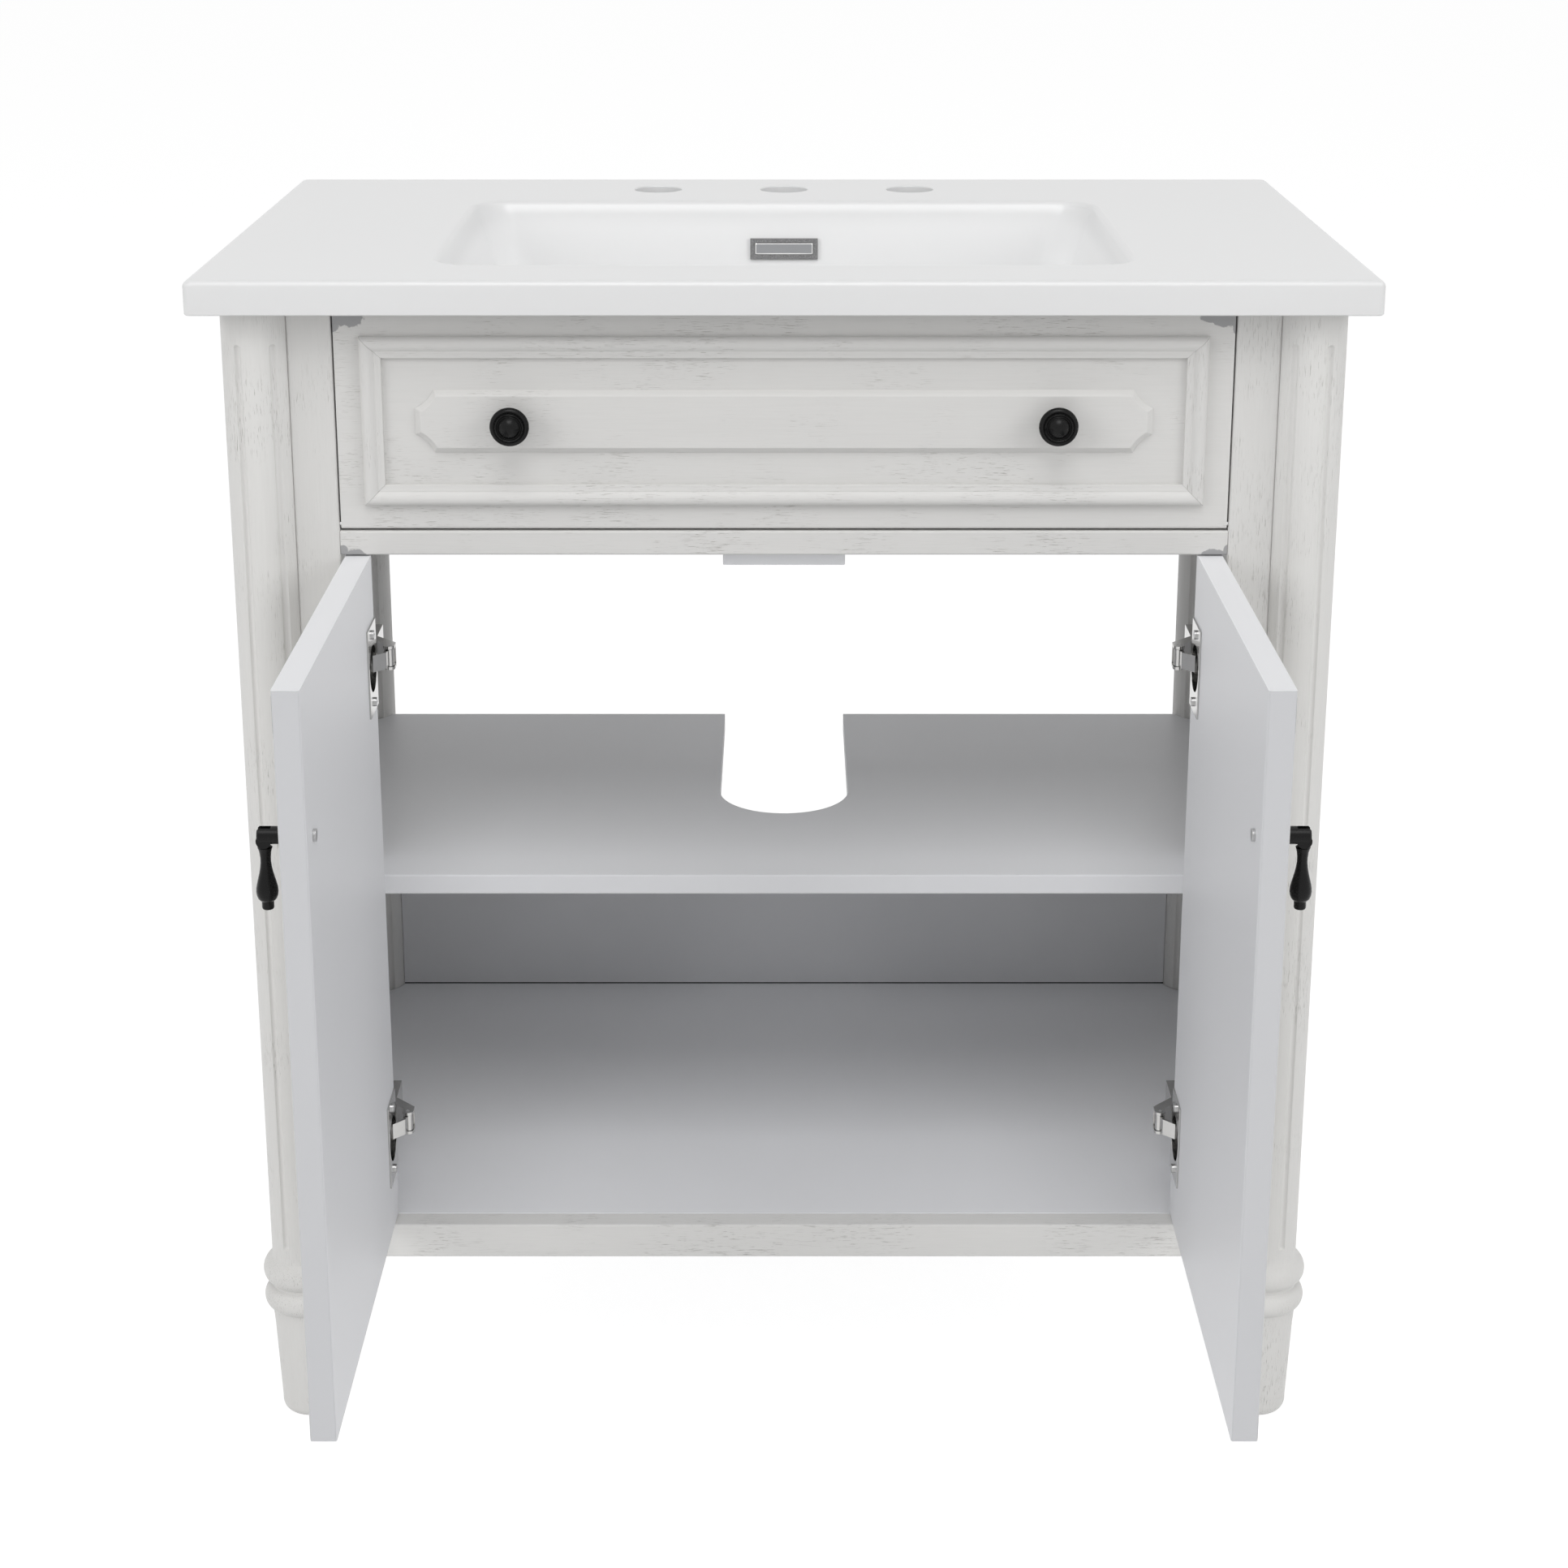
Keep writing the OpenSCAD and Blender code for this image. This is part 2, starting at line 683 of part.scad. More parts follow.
// The upright liner behind a stile that carries the hinge plates
module liner(sx) {
    color(board_grey) place() difference() {
        mirror([sx > 0 ? 0 : 1, 0, 0]) translate([open_half, face_y + stile_t, floor_z])
            cube([liner_t, liner_d, rail_z - floor_z]);
        for (z = hinge_zs, s = [-1, 1]) {
            translate([sx * open_half, face_y + plate_screw_y, z + s * plate_screw_z])
                rotate([0, sx * 90, 0]) translate([0, 0, -eps])
                cylinder(h = screw_l + eps, r = screw_r + fixed_fit);
        }
    }
}

module floor_panel() {
    color(board_grey) place() difference() {
        translate([-side_in, bottom_rail_y + stile_t, board_z])
            cube([2 * side_in, back_y - bottom_rail_y - stile_t, board_t]);
        leg_room(board_z - 1, floor_z + 1);
        mirrored() translate([leg_x - leg_r, 0, board_z - 1])
            cube([leg_r, leg_front_y, board_t + 2]);
    }
}

shelf_pin_z = shelf_z - board_t - shelf_pin_r;
shelf_pin_ys = [liner_back + 30, back_y - 60];
plate_screw_y = (plate_front + plate_back) / 2;

// The shelf, open at the back for the pipes and cut round the hinge liners
module shelf() {
    color(board_grey) place() difference() {
        bar_x(-side_in + wood_fit, side_in - wood_fit, shelf_y, back_y,
            shelf_z - board_t, shelf_z, wood_r);
        leg_room(shelf_z - board_t - 1, shelf_z + 1);
        translate([0, slot_y + slot_r, shelf_z - board_t - 1])
            cylinder(h = board_t + 2, r = slot_r);
        translate([-slot_r, slot_y + slot_r, shelf_z - board_t - 1])
            cube([2 * slot_r, back_y - slot_y, board_t + 2]);
        mirrored() translate([open_half - 1, shelf_y - 1, shelf_z - board_t - 1])
            cube([side_in, liner_back - shelf_y + 2, board_t + 2]);
    }
}

module shelf_pins() {
    color(steel) place() for (s = [-1, 1], y = shelf_pin_ys) {
        translate([s * (side_in - shelf_pin_out), y, shelf_pin_z]) rotate([0, s * 90, 0])
            cylinder(h = shelf_pin_out + shelf_pin_in, r = shelf_pin_r);
    }
}

module back_board(z0, h) {
    difference() {
        translate([-leg_x, back_board_y, z0]) cube([2 * leg_x, board_t, h]);
        leg_room(z0 - 1, z0 + h + 1);
        mirrored() translate([leg_x - leg_r / 2, back_board_y - 1, z0 - 1])
            cube([leg_r, board_t + 2, h + 2]);
    }
}

module lower_back_panel() {
    color(board_grey) place() back_board(board_z, back_low_h + board_t);
}

module upper_back_rail() {
    color(board_grey) place() difference() {
        back_board(under_top - back_rail_h, back_rail_h);
        for (s = [-1, 1]) {
            translate([s * wall_hole_x, back_board_y - 1, under_top - back_rail_h / 2])
                rotate([-90, 0, 0]) cylinder(h = board_t + 2, d = wall_hole_d);
        }
    }
}

// Places its children, drawn for the left hinges, at both heights and on both sides
module at_hinges() {
    mirrored() for (z = hinge_zs) {
        translate([-open_half, face_y, z]) children();
    }
}

module hinge_plates() {
    color(nickel) place() at_hinges() difference() {
        union() {
            translate([0, plate_front, -plate_h / 2])
                cube([plate_t, plate_back - plate_front, plate_h]);
            translate([0, boss_front, -arm_slot])
                cube([arm_low, boss_back - boss_front, 2 * arm_slot]);
        }
        for (s = [-1, 1]) {
            translate([-1, plate_screw_y, s * plate_screw_z]) rotate([0, 90, 0])
                cylinder(h = plate_t + 2, r = screw_r + fixed_fit);
        }
    }
}

module hinge_plate_screws() {
    color(steel) place() at_hinges() for (s = [-1, 1]) {
        translate([0, plate_screw_y, s * plate_screw_z]) {
            rotate([0, -90, 0]) translate([0, 0, -plate_t]) cylinder(h = screw_l + plate_t, r = screw_r);
            translate([plate_t, 0, 0]) screw_head();
        }
    }
}

// A flat screw head facing +X with a cross recess
module screw_head() {
    rotate([0, 90, 0]) difference() {
        cylinder(h = screw_head_t, r = screw_head_r);
        for (a = [0, 90]) {
            rotate([0, 0, a]) translate([-screw_head_r * 0.6, -0.4, screw_head_t / 2])
                cube([screw_head_r * 1.2, 0.8, screw_head_t]);
        }
    }
}

module hinge_arms() {
    color(nickel) place() at_hinges() difference() {
        union() {
            translate([0, 0, -arm_half]) linear_extrude(height = 2 * arm_half)
                polygon(arm_points);
            translate([link_in, link_back, -arm_half])
                cylinder(h = 2 * arm_half, r = arm_end_r);
        }
        translate([link_in - arm_end_r - 4, link_back - arm_end_r - 4, -arm_slot])
            cube([2 * arm_end_r + 8, slot_back - link_back + arm_end_r + 4, 2 * arm_slot]);
        translate([link_in, link_back, -arm_half - 1])
            cylinder(h = 2 * arm_half + 2, r = hinge_pin_r + fixed_fit);
    }
}

module hinge_pins() {
    color(steel) place() at_hinges() translate([link_in, link_back, -arm_half])
        cylinder(h = 2 * arm_half, r = hinge_pin_r);
}

module tilt_pins() {
    color(steel) place() mirrored()
        translate([tilt_half - tilt_pin_len, tilt_pin_y, tilt_pin_z]) rotate([0, 90, 0])
        cylinder(h = 2 * tilt_pin_len + tilt_gap - 0.5, r = tilt_pin_r);
}

// Turns a left door, drawn closed, to its open place
module opened() {
    place() translate([-pivot_x, pivot_y, 0]) rotate([0, 0, -90])
        translate([pivot_x, -pivot_y, 0]) children();
}

// Draws for the left side, or mirrored for the right
module side(sx) {
    mirror([sx > 0 ? 1 : 0, 0, 0]) children();
}

module door_panel() {
    color(paint) opened() difference() {
        bar_z(door_x0, door_x1, face_y, door_back, door_low, door_high, wood_r);
        for (z = hinge_zs) {
            translate([cup_x, door_back - cup_depth - wood_fit, z]) rotate([-90, 0, 0])
                cylinder(h = cup_depth + 1, r = cup_r + fixed_fit);
            for (s = [-1, 1]) {
                translate([cup_x, door_back - screw_l, z + s * cup_screw_z])
                    rotate([-90, 0, 0]) cylinder(h = screw_l + 1, r = screw_r + fixed_fit);
            }
        }
        translate([pull_x, face_y - 1, pull_z]) rotate([-90, 0, 0])
            cylinder(h = door_t + 2, r = pull_screw_r + fixed_fit);
    }
}

// One side of a mitred moulding, along X, with its outer edge at y = 0
module moulding_side(l) {
    r1 = (bead_w * bead_w / 4 + bead_h * bead_h) / (2 * bead_h);
    r2 = (small_w * small_w / 4 + small_h * small_h) / (2 * small_h);
    intersection() {
        linear_extrude(height = bead_h + 1)
            polygon([[0, 0], [l, 0], [l - frame_w, frame_w], [frame_w, frame_w]]);
        union() {
            translate([0, bead_w / 2, bead_h - r1]) rotate([0, 90, 0])
                cylinder(h = l, r = r1);
            translate([0, bead_w / 2, 0]) cube([l, frame_w - bead_w / 2 - small_w / 2, hollow_h]);
            translate([0, frame_w - small_w / 2, small_h - r2]) rotate([0, 90, 0])
                cylinder(h = l, r = r2);
        }
    }
}

// A moulding round a panel, centred, standing on z = 0
module moulding(w, h) {
    for (s = [0, 180]) {
        rotate([0, 0, s]) translate([-w / 2, -h / 2, 0]) moulding_side(w);
        rotate([0, 0, s + 90]) translate([-h / 2, -w / 2, 0]) moulding_side(h);
    }
}

// A bevelled plaque with hollowed corners, centred, standing on z = 0
module plaque(w, h) {
    d = plaque_notch_out;
    r = sqrt((plaque_notch + d) * (plaque_notch + d) + d * d);
    a = atan2(plaque_t, plaque_bevel);
    big = plaque_t * 4;
    difference() {
        translate([-w / 2, -h / 2, 0]) cube([w, h, plaque_t]);
        for (s = [0, 180]) {
            rotate([0, 0, s]) translate([-w / 2 - big, -h / 2, 0.4]) rotate([a - 90, 0, 0])
                translate([0, -big, -big]) cube([w + 2 * big, big, 3 * big]);
            rotate([0, 0, s + 90]) translate([-h / 2 - big, -w / 2, 0.4]) rotate([a - 90, 0, 0])
                translate([0, -big, -big]) cube([h + 2 * big, big, 3 * big]);
        }
        for (x = [-1, 1], y = [-1, 1]) {
            translate([x * (w / 2 + d), y * (h / 2 + d), -1]) {
                cylinder(h = 1.4 + eps, r = r);
                translate([0, 0, 1.4]) cylinder(h = plaque_t, r1 = r, r2 = r + plaque_bevel);
            }
        }
    }
}

module door_moulding() {
    color(paint) opened() translate([door_mid_x, face_y, door_mid_z]) rotate([90, 0, 0])
        moulding(door_frame_w, door_frame_h);
}

module door_plaque() {
    color(paint) opened() translate([door_mid_x, face_y, door_mid_z]) rotate([90, 0, 0])
        plaque(door_plaque_w, door_plaque_h);
}

module hinge_cups() {
    color(nickel) opened() for (z = hinge_zs) {
        translate([cup_x, door_back, z]) difference() {
            union() {
                translate([0, -cup_depth, 0]) rotate([-90, 0, 0])
                    cylinder(h = cup_depth + flange_t, r = cup_r);
                translate([-flange_w / 2, 0, -flange_h / 2])
                    cube([flange_w, flange_t, flange_h]);
            }
            translate([0, cup_wall - cup_depth, 0]) rotate([-90, 0, 0])
                cylinder(h = cup_depth + flange_t, r = cup_r - cup_wall);
            for (s = [-1, 1]) {
                translate([0, -1, s * cup_screw_z]) rotate([-90, 0, 0])
                    cylinder(h = flange_t + 2, r = screw_r + fixed_fit);
            }
        }
    }
}

module cup_screws() {
    color(steel) opened() for (z = hinge_zs, s = [-1, 1]) {
        translate([cup_x, door_back, z + s * cup_screw_z]) {
            translate([0, -screw_l + 0.5, 0]) rotate([-90, 0, 0])
                cylinder(h = screw_l + flange_t - 0.5, r = screw_r);
            translate([0, flange_t, 0]) rotate([0, 0, 90]) screw_head();
        }
    }
}

// Plate, head, two cheeks and pin of a pull
module pull_base() {
    color(black) opened() translate([pull_x, 0, 0]) {
        difference() {
            union() {
                translate([0, face_y, pull_z]) rotate([90, 0, 0]) {
                    translate([0, -pull_plate_down, 0])
                        bar_z(-pull_plate_w / 2, pull_plate_w / 2, -pull_plate_h / 2,
                            pull_plate_h / 2, 0, pull_plate_t, wood_r);
                    cylinder(h = pull_head_l - 1, r = pull_head_r);
                    translate([0, 0, pull_head_l - 1])
                        cylinder(h = 1, r1 = pull_head_r, r2 = pull_head_r - 1);
                }
                for (s = [-1, 1]) {
                    translate([s * (cheek_in + cheek_t / 2), pull_pin_y, pull_pin_z])
                        rotate([0, 90, 0]) cylinder(h = cheek_t, r = cheek_r, center = true);
                }
            }
            translate([0, face_y - pull_screw_in, pull_z]) rotate([-90, 0, 0])
                cylinder(h = pull_screw_in + 1, r = pull_screw_r + fixed_fit);
            translate([-cheek_in, pull_pin_y - cheek_r, pull_pin_z - cheek_r])
                cube([2 * cheek_in, cheek_r + eye_r + eye_play, 3 * cheek_r]);
        }
        translate([0, pull_pin_y, pull_pin_z]) rotate([0, 90, 0])
            cylinder(h = 2 * cheek_in + cheek_t, r = pull_pin_r, center = true);
    }
}

module pull_screw() {
    color(steel) opened() translate([pull_x, door_back, pull_z]) {
        rotate([90, 0, 0]) cylinder(h = door_t + pull_screw_in - 0.5, r = pull_screw_r);
        rotate([-90, 0, 0]) cylinder(h = pull_screw_head_t, r = pull_screw_head_r);
    }
}

// The turned drop: eye, collar, waist, bulb and tip
module pull_drop() {
    top = cheek_r + 0.2;
    bulb_h = 17;
    neck = drop_l - top - bulb_h;
    color(black) opened() translate([pull_x, pull_pin_y, pull_pin_z]) {
        difference() {
            union() {
                rotate([0, 90, 0]) cylinder(h = eye_t, r = eye_r, center = true);
                translate([0, 0, -top - 0.5]) cylinder(h = top - 1, r = eye_t / 2);
            }
            rotate([0, 90, 0]) cylinder(h = eye_t + 2, r = pull_pin_r + run_fit, center = true);
        }
        translate([0, 0, -drop_l]) rotate_extrude() polygon([[0, 0], [drop_tip_r - 1.4, 0],
            [drop_tip_r - 0.4, 0.4], [drop_tip_r, 1.4], [drop_tip_r, 5.2],
            [drop_bulb_r - 2.1, 6], [drop_bulb_r - 1, 7.3], [drop_bulb_r - 0.3, 9.3],
            [drop_bulb_r, 11.8], [drop_bulb_r - 0.2, 14.2], [drop_bulb_r - 0.8, bulb_h],
            [drop_bulb_r - 1.7, bulb_h + 0.15 * neck], [drop_waist_r + 1, bulb_h + 0.29 * neck],
            [drop_waist_r + 0.4, bulb_h + 0.43 * neck], [drop_waist_r, bulb_h + 0.58 * neck],
            [drop_waist_r, bulb_h + 0.71 * neck], [drop_waist_r + 0.4, bulb_h + 0.86 * neck],
            [drop_collar_r - 0.2, bulb_h + 0.97 * neck], [drop_collar_r, drop_l - top - 0.3],
            [drop_collar_r - 0.5, drop_l - top], [0, drop_l - top]]);
    }
}

// The bent strap that joins a hinge's arm to its cup
module hinge_links() {
    hub = [link_in, link_back];
    color(nickel) place() for (z = hinge_zs) {
        translate([-open_half, face_y, z]) difference() {
            union() {
                translate([hub[0], hub[1], -link_half]) cylinder(h = 2 * link_half, r = link_hub_r);
                strap(hub, link_knee);
                strap(link_knee, link_tip);
                translate([link_knee[0], link_knee[1], -link_half])
                    cylinder(h = 2 * link_half, r = link_t / 2);
            }
            translate([hub[0], hub[1], -link_half - 1])
                cylinder(h = 2 * link_half + 2, r = hinge_pin_r + run_fit);
        }
    }
}

module strap(a, b) {
    v = b - a;
    translate([a[0], a[1], -link_half]) rotate([0, 0, atan2(v[1], v[0])])
        translate([0, -link_t / 2, 0]) cube([norm(v), link_t, 2 * link_half]);
}

module tilt_panel() {
    color(paint) place() difference() {
        bar_x(-tilt_half, tilt_half, face_y, face_y + tilt_t, tilt_low, tilt_high, tilt_r);
        mirrored() translate([tilt_half - tilt_pin_len - 0.4, tilt_pin_y, tilt_pin_z])
            rotate([0, 90, 0]) cylinder(h = tilt_pin_len + 2, r = tilt_pin_r + run_fit);
        mirrored() translate([knob_x, face_y - 1, knob_z]) rotate([-90, 0, 0])
            cylinder(h = tilt_t + 2, r = knob_screw_r + fixed_fit);
    }
}

module tilt_moulding() {
    color(paint) place() translate([0, face_y, tilt_mid_z]) rotate([90, 0, 0])
        moulding(2 * tilt_frame_half, tilt_frame_h);
}

module tilt_plaque() {
    color(paint) place() difference() {
        translate([0, face_y, tilt_mid_z]) rotate([90, 0, 0])
            plaque(2 * tilt_plaque_half, tilt_plaque_h);
        mirrored() translate([knob_x, face_y + 1, knob_z]) rotate([90, 0, 0])
            cylinder(h = plaque_t + 2, r = knob_screw_r + fixed_fit);
    }
}

// A knob: base, neck, round-edged head, ring and dome
module knob() {
    edge = knob_head_t / 2;
    head = knob_base_t + knob_neck_l;
    face = head + knob_head_t;
    dome = (knob_dome_r * knob_dome_r + knob_dome_h * knob_dome_h) / (2 * knob_dome_h);
    difference() {
        union() {
            cylinder(h = knob_base_t, r = knob_base_r);
            cylinder(h = head + 1, r = knob_neck_r);
            translate([0, 0, head]) cylinder(h = knob_head_t, r = knob_d / 2 - edge);
            translate([0, 0, head + edge]) rotate_extrude()
                translate([knob_d / 2 - edge, 0]) circle(r = edge);
            translate([0, 0, face - 1]) cylinder(h = knob_ring_h + 1, r = knob_ring_r);
            intersection() {
                translate([0, 0, face + knob_ring_h + knob_dome_h - dome]) sphere(r = dome);
                translate([0, 0, face]) cylinder(h = 2 * dome, r = knob_dome_r);
            }
        }
        translate([0, 0, -1]) cylinder(h = knob_screw_in + 1.5, r = knob_screw_r + fixed_fit);
    }
}

module tilt_knobs() {
    color(black) place() mirrored() translate([knob_x, face_y - plaque_t, knob_z])
        rotate([90, 0, 0]) knob();
}

module tilt_knob_screws() {
    color(steel) place() mirrored() translate([knob_x, face_y + tilt_t, knob_z]) {
        rotate([90, 0, 0])
            cylinder(h = tilt_t + plaque_t + knob_screw_in, r = knob_screw_r);
        rotate([-90, 0, 0]) cylinder(h = knob_screw_head_t, r = knob_screw_head_r);
    }
}

module tilt_tray() {
    y0 = face_y + tilt_t;
    z0 = tilt_low + tray_up;
    half = tilt_half - tray_in;
    color(white_ceramic) place() difference() {
        translate([-half, y0, z0]) cube([2 * half, tray_d, tray_h]);
        translate([-half + tray_wall, y0 + tray_wall, z0 + tray_wall])
            cube([2 * (half - tray_wall), tray_d - 2 * tray_wall, tray_h]);
    }
}

sink_top();
overflow_cover();
leg(-1, leg_front_y, flute_turn);  // leg_front_left
leg(1, leg_front_y, flute_turn);  // leg_front_right
leg(-1, leg_back_y, flute_turn);  // leg_back_left
leg(1, leg_back_y, flute_turn);  // leg_back_right
stile(-1);  // stile_left
stile(1);  // stile_right
middle_rail();
door_stop();
bottom_rail();
side_panel(-1);  // side_panel_left
side_panel(1);  // side_panel_right
liner(-1);  // liner_left
liner(1);  // liner_right
floor_panel();
shelf();
shelf_pins();
lower_back_panel();
upper_back_rail();
hinge_plates();
hinge_plate_screws();
hinge_arms();
hinge_pins();
tilt_pins();
side(-1) door_panel();  // left_door_panel
side(-1) door_moulding();  // left_door_moulding
side(-1) door_plaque();  // left_door_plaque
side(-1) hinge_cups();  // left_hinge_cups
side(-1) cup_screws();  // left_cup_screws
side(-1) pull_base();  // left_pull_base
side(-1) pull_screw();  // left_pull_screw
side(-1) pull_drop();  // left_pull_drop
side(-1) hinge_links();  // left_hinge_links
side(1) door_panel();  // right_door_panel
side(1) door_moulding();  // right_door_moulding
side(1) door_plaque();  // right_door_plaque
side(1) hinge_cups();  // right_hinge_cups
side(1) cup_screws();  // right_cup_screws
side(1) pull_base();  // right_pull_base
side(1) pull_screw();  // right_pull_screw
side(1) pull_drop();  // right_pull_drop
side(1) hinge_links();  // right_hinge_links
tilt_panel();
tilt_moulding();
tilt_plaque();
tilt_knobs();
tilt_knob_screws();
tilt_tray();
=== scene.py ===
# %% [markdown]
# # A painted vanity unit with a ceramic top
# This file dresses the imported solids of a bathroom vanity. The solids give every
# size and every joint. Here each piece gets eased edges, turned and moulded
# detail, and a finish: worn off-white paint, smooth lined board, glazed ceramic,
# polished nickel and satin black.

# %% Load the solids
import bmesh
import bpy
import json
import math
from mathutils import Matrix, Vector


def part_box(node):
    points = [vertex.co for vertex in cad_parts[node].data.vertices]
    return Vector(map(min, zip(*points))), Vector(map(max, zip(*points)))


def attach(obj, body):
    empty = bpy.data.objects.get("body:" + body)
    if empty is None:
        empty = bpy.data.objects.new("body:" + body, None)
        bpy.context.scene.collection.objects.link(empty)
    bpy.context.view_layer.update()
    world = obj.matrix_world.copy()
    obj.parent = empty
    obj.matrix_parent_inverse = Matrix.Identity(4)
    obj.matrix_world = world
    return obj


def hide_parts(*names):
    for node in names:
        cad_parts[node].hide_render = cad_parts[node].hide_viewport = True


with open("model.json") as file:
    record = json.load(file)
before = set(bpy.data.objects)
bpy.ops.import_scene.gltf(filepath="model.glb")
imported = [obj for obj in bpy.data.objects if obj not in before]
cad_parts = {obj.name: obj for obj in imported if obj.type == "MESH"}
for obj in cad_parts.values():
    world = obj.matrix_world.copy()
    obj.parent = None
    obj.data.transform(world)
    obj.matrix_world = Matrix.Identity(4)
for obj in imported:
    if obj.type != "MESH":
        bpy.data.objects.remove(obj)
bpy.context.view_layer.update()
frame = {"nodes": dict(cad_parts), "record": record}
nodes = frame["nodes"]
scene = bpy.context.scene

# %% [markdown]
# The places of the pieces are read from the solids. They could be typed in, but a
# number that is read moves the dressed piece along when the solid changes. Only the
# small shapes that the solids hold plainly, such as mouldings and turnings, are
# written out, each where it is used. Depth is counted from the top's front edge.

# %% Read the main sizes
top_lo, top_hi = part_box("sink_top")
front_y = top_lo.y
top_z = top_hi.z
leg_lo, leg_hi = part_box("leg_front_left")
leg_top = leg_hi.z
leg_centre = (leg_lo + leg_hi) / 2
back_lo, back_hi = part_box("leg_back_left")
back_leg_y = (back_lo.y + back_hi.y) / 2
MM = 0.001
print("top", top_z, "leg top", leg_top, "leg centre", tuple(leg_centre))

# %% [markdown]
# A finish is a small graph of nodes. It could be wired by hand in the shader
# editor, but a script can be read, and changed in one place. Each helper here makes
# one node, fills its sockets and hands back its output. All patterns read object
# coordinates in metres, so grain keeps its real size on every piece.

# %% Helpers for node graphs
def add(tree, kind, at=(0, 0), **values):
    """A new node of a kind, with its settings."""
    node = tree.nodes.new(kind)
    node.location = at
    for key, value in values.items():
        setattr(node, key, value)
    return node


def maths(tree, operation, *values, clamp=False):
    """One math node; each value is a number or the output of another node."""
    node = add(tree, "ShaderNodeMath", operation=operation, use_clamp=clamp)
    for socket, value in zip(node.inputs, values):
        if isinstance(value, (int, float)):
            socket.default_value = value
        else:
            tree.links.new(value, socket)
    return node.outputs[0]


def vector_maths(tree, operation, *values):
    """One vector math node; LENGTH gives a number, the others a vector."""
    node = add(tree, "ShaderNodeVectorMath", operation=operation)
    for socket, value in zip(node.inputs, values):
        tree.links.new(value, socket)
    return node.outputs["Value" if operation == "LENGTH" else "Vector"]


def axes(tree, vector):
    """The X, Y and Z of a vector."""
    node = add(tree, "ShaderNodeSeparateXYZ")
    tree.links.new(vector, node.inputs[0])
    return node.outputs


def new_group(name, inputs, outputs):
    """A shader node group with named sockets, and its inner ends."""
    group = bpy.data.node_groups.new(name, "ShaderNodeTree")
    for label, kind, value in inputs:
        socket = group.interface.new_socket(label, in_out="INPUT", socket_type=kind)
        if value is not None:
            socket.default_value = value
    for label, kind in outputs:
        group.interface.new_socket(label, in_out="OUTPUT", socket_type=kind)
    inside = add(group, "NodeGroupInput", (-900, 0))
    outside = add(group, "NodeGroupOutput", (900, 0))
    return group, inside.outputs, outside.inputs


def ramp(tree, source, low, high, reverse=False):
    """A soft step from 0 to 1 as the source goes from low to high, or back."""
    node = add(tree, "ShaderNodeMapRange", clamp=True, interpolation_type="SMOOTHSTEP")
    node.inputs["From Min"].default_value = low
    node.inputs["From Max"].default_value = high
    node.inputs["To Min"].default_value = 1.0 if reverse else 0.0
    node.inputs["To Max"].default_value = 0.0 if reverse else 1.0
    tree.links.new(source, node.inputs["Value"])
    return node.outputs["Result"]


def noise(tree, vector, scale, detail=3.0, rough=0.55):
    """Noise from 0 to 1 over a vector."""
    node = add(tree, "ShaderNodeTexNoise")
    node.inputs["Scale"].default_value = scale
    node.inputs["Detail"].default_value = detail
    node.inputs["Roughness"].default_value = rough
    tree.links.new(vector, node.inputs["Vector"])
    return node.outputs["Fac"]


print("helpers ready")

# %% [markdown]
# The paint of the cabinet was brushed on and rubbed back. Short dark scratches run
# along its grain and gather in places. An image could hold them, but it would blur
# close to. Noise does not: fine noise, cut off high, gives the marks, and cloudy
# noise says where they gather. All painted pieces need this, so it is a node group
# with named sockets.

# %% Group: scratches along the grain
scratch_group, gi, go = new_group(
    "Scratches along the grain",
    [("Along grain", "NodeSocketVector", None), ("Position", "NodeSocketVector", None),
     ("Amount", "NodeSocketFloat", 0.5), ("Seed", "NodeSocketFloat", 0.0)],
    [("Scratches", "NodeSocketFloat"), ("Brushing", "NodeSocketFloat"),
     ("Height", "NodeSocketFloat")])
shift = vector_maths(scratch_group, "ADD", gi["Along grain"], gi["Seed"])
around = vector_maths(scratch_group, "ADD", gi["Position"], gi["Seed"])
fine = noise(scratch_group, shift, 74.0, 2.0, 0.6)
broad = noise(scratch_group, shift, 1.7, 3.0, 0.55)
lines = noise(scratch_group, shift, 26.0, 2.0, 0.5)
marks = ramp(scratch_group, fine, 0.59, 0.69)
clouds = ramp(scratch_group, noise(scratch_group, around, 17.0, 3.0, 0.6), 0.44, 0.66)
marks = maths(scratch_group, "MULTIPLY", marks, clouds)
marks = maths(scratch_group, "MULTIPLY", marks, gi["Amount"], clamp=True)
brush = maths(scratch_group, "MULTIPLY", lines, 0.5)
brush = maths(scratch_group, "ADD", brush, maths(scratch_group, "MULTIPLY", broad, 0.5))
height = maths(scratch_group, "SUBTRACT", brush, marks)
scratch_group.links.new(marks, go["Scratches"])
scratch_group.links.new(brush, go["Brushing"])
scratch_group.links.new(height, go["Height"])
print("group sockets:", [s.name for s in scratch_group.interface.items_tree])

# %% [markdown]
# Where a corner has been rubbed, the paint is gone and a grey primer shows in a
# patch with a wavy edge. It has no depth that shows, so it needs no mesh of its own.
# The second group makes one such patch: an ellipsoid round a centre, with noise
# added to its distance. Two or three of them make one rub.

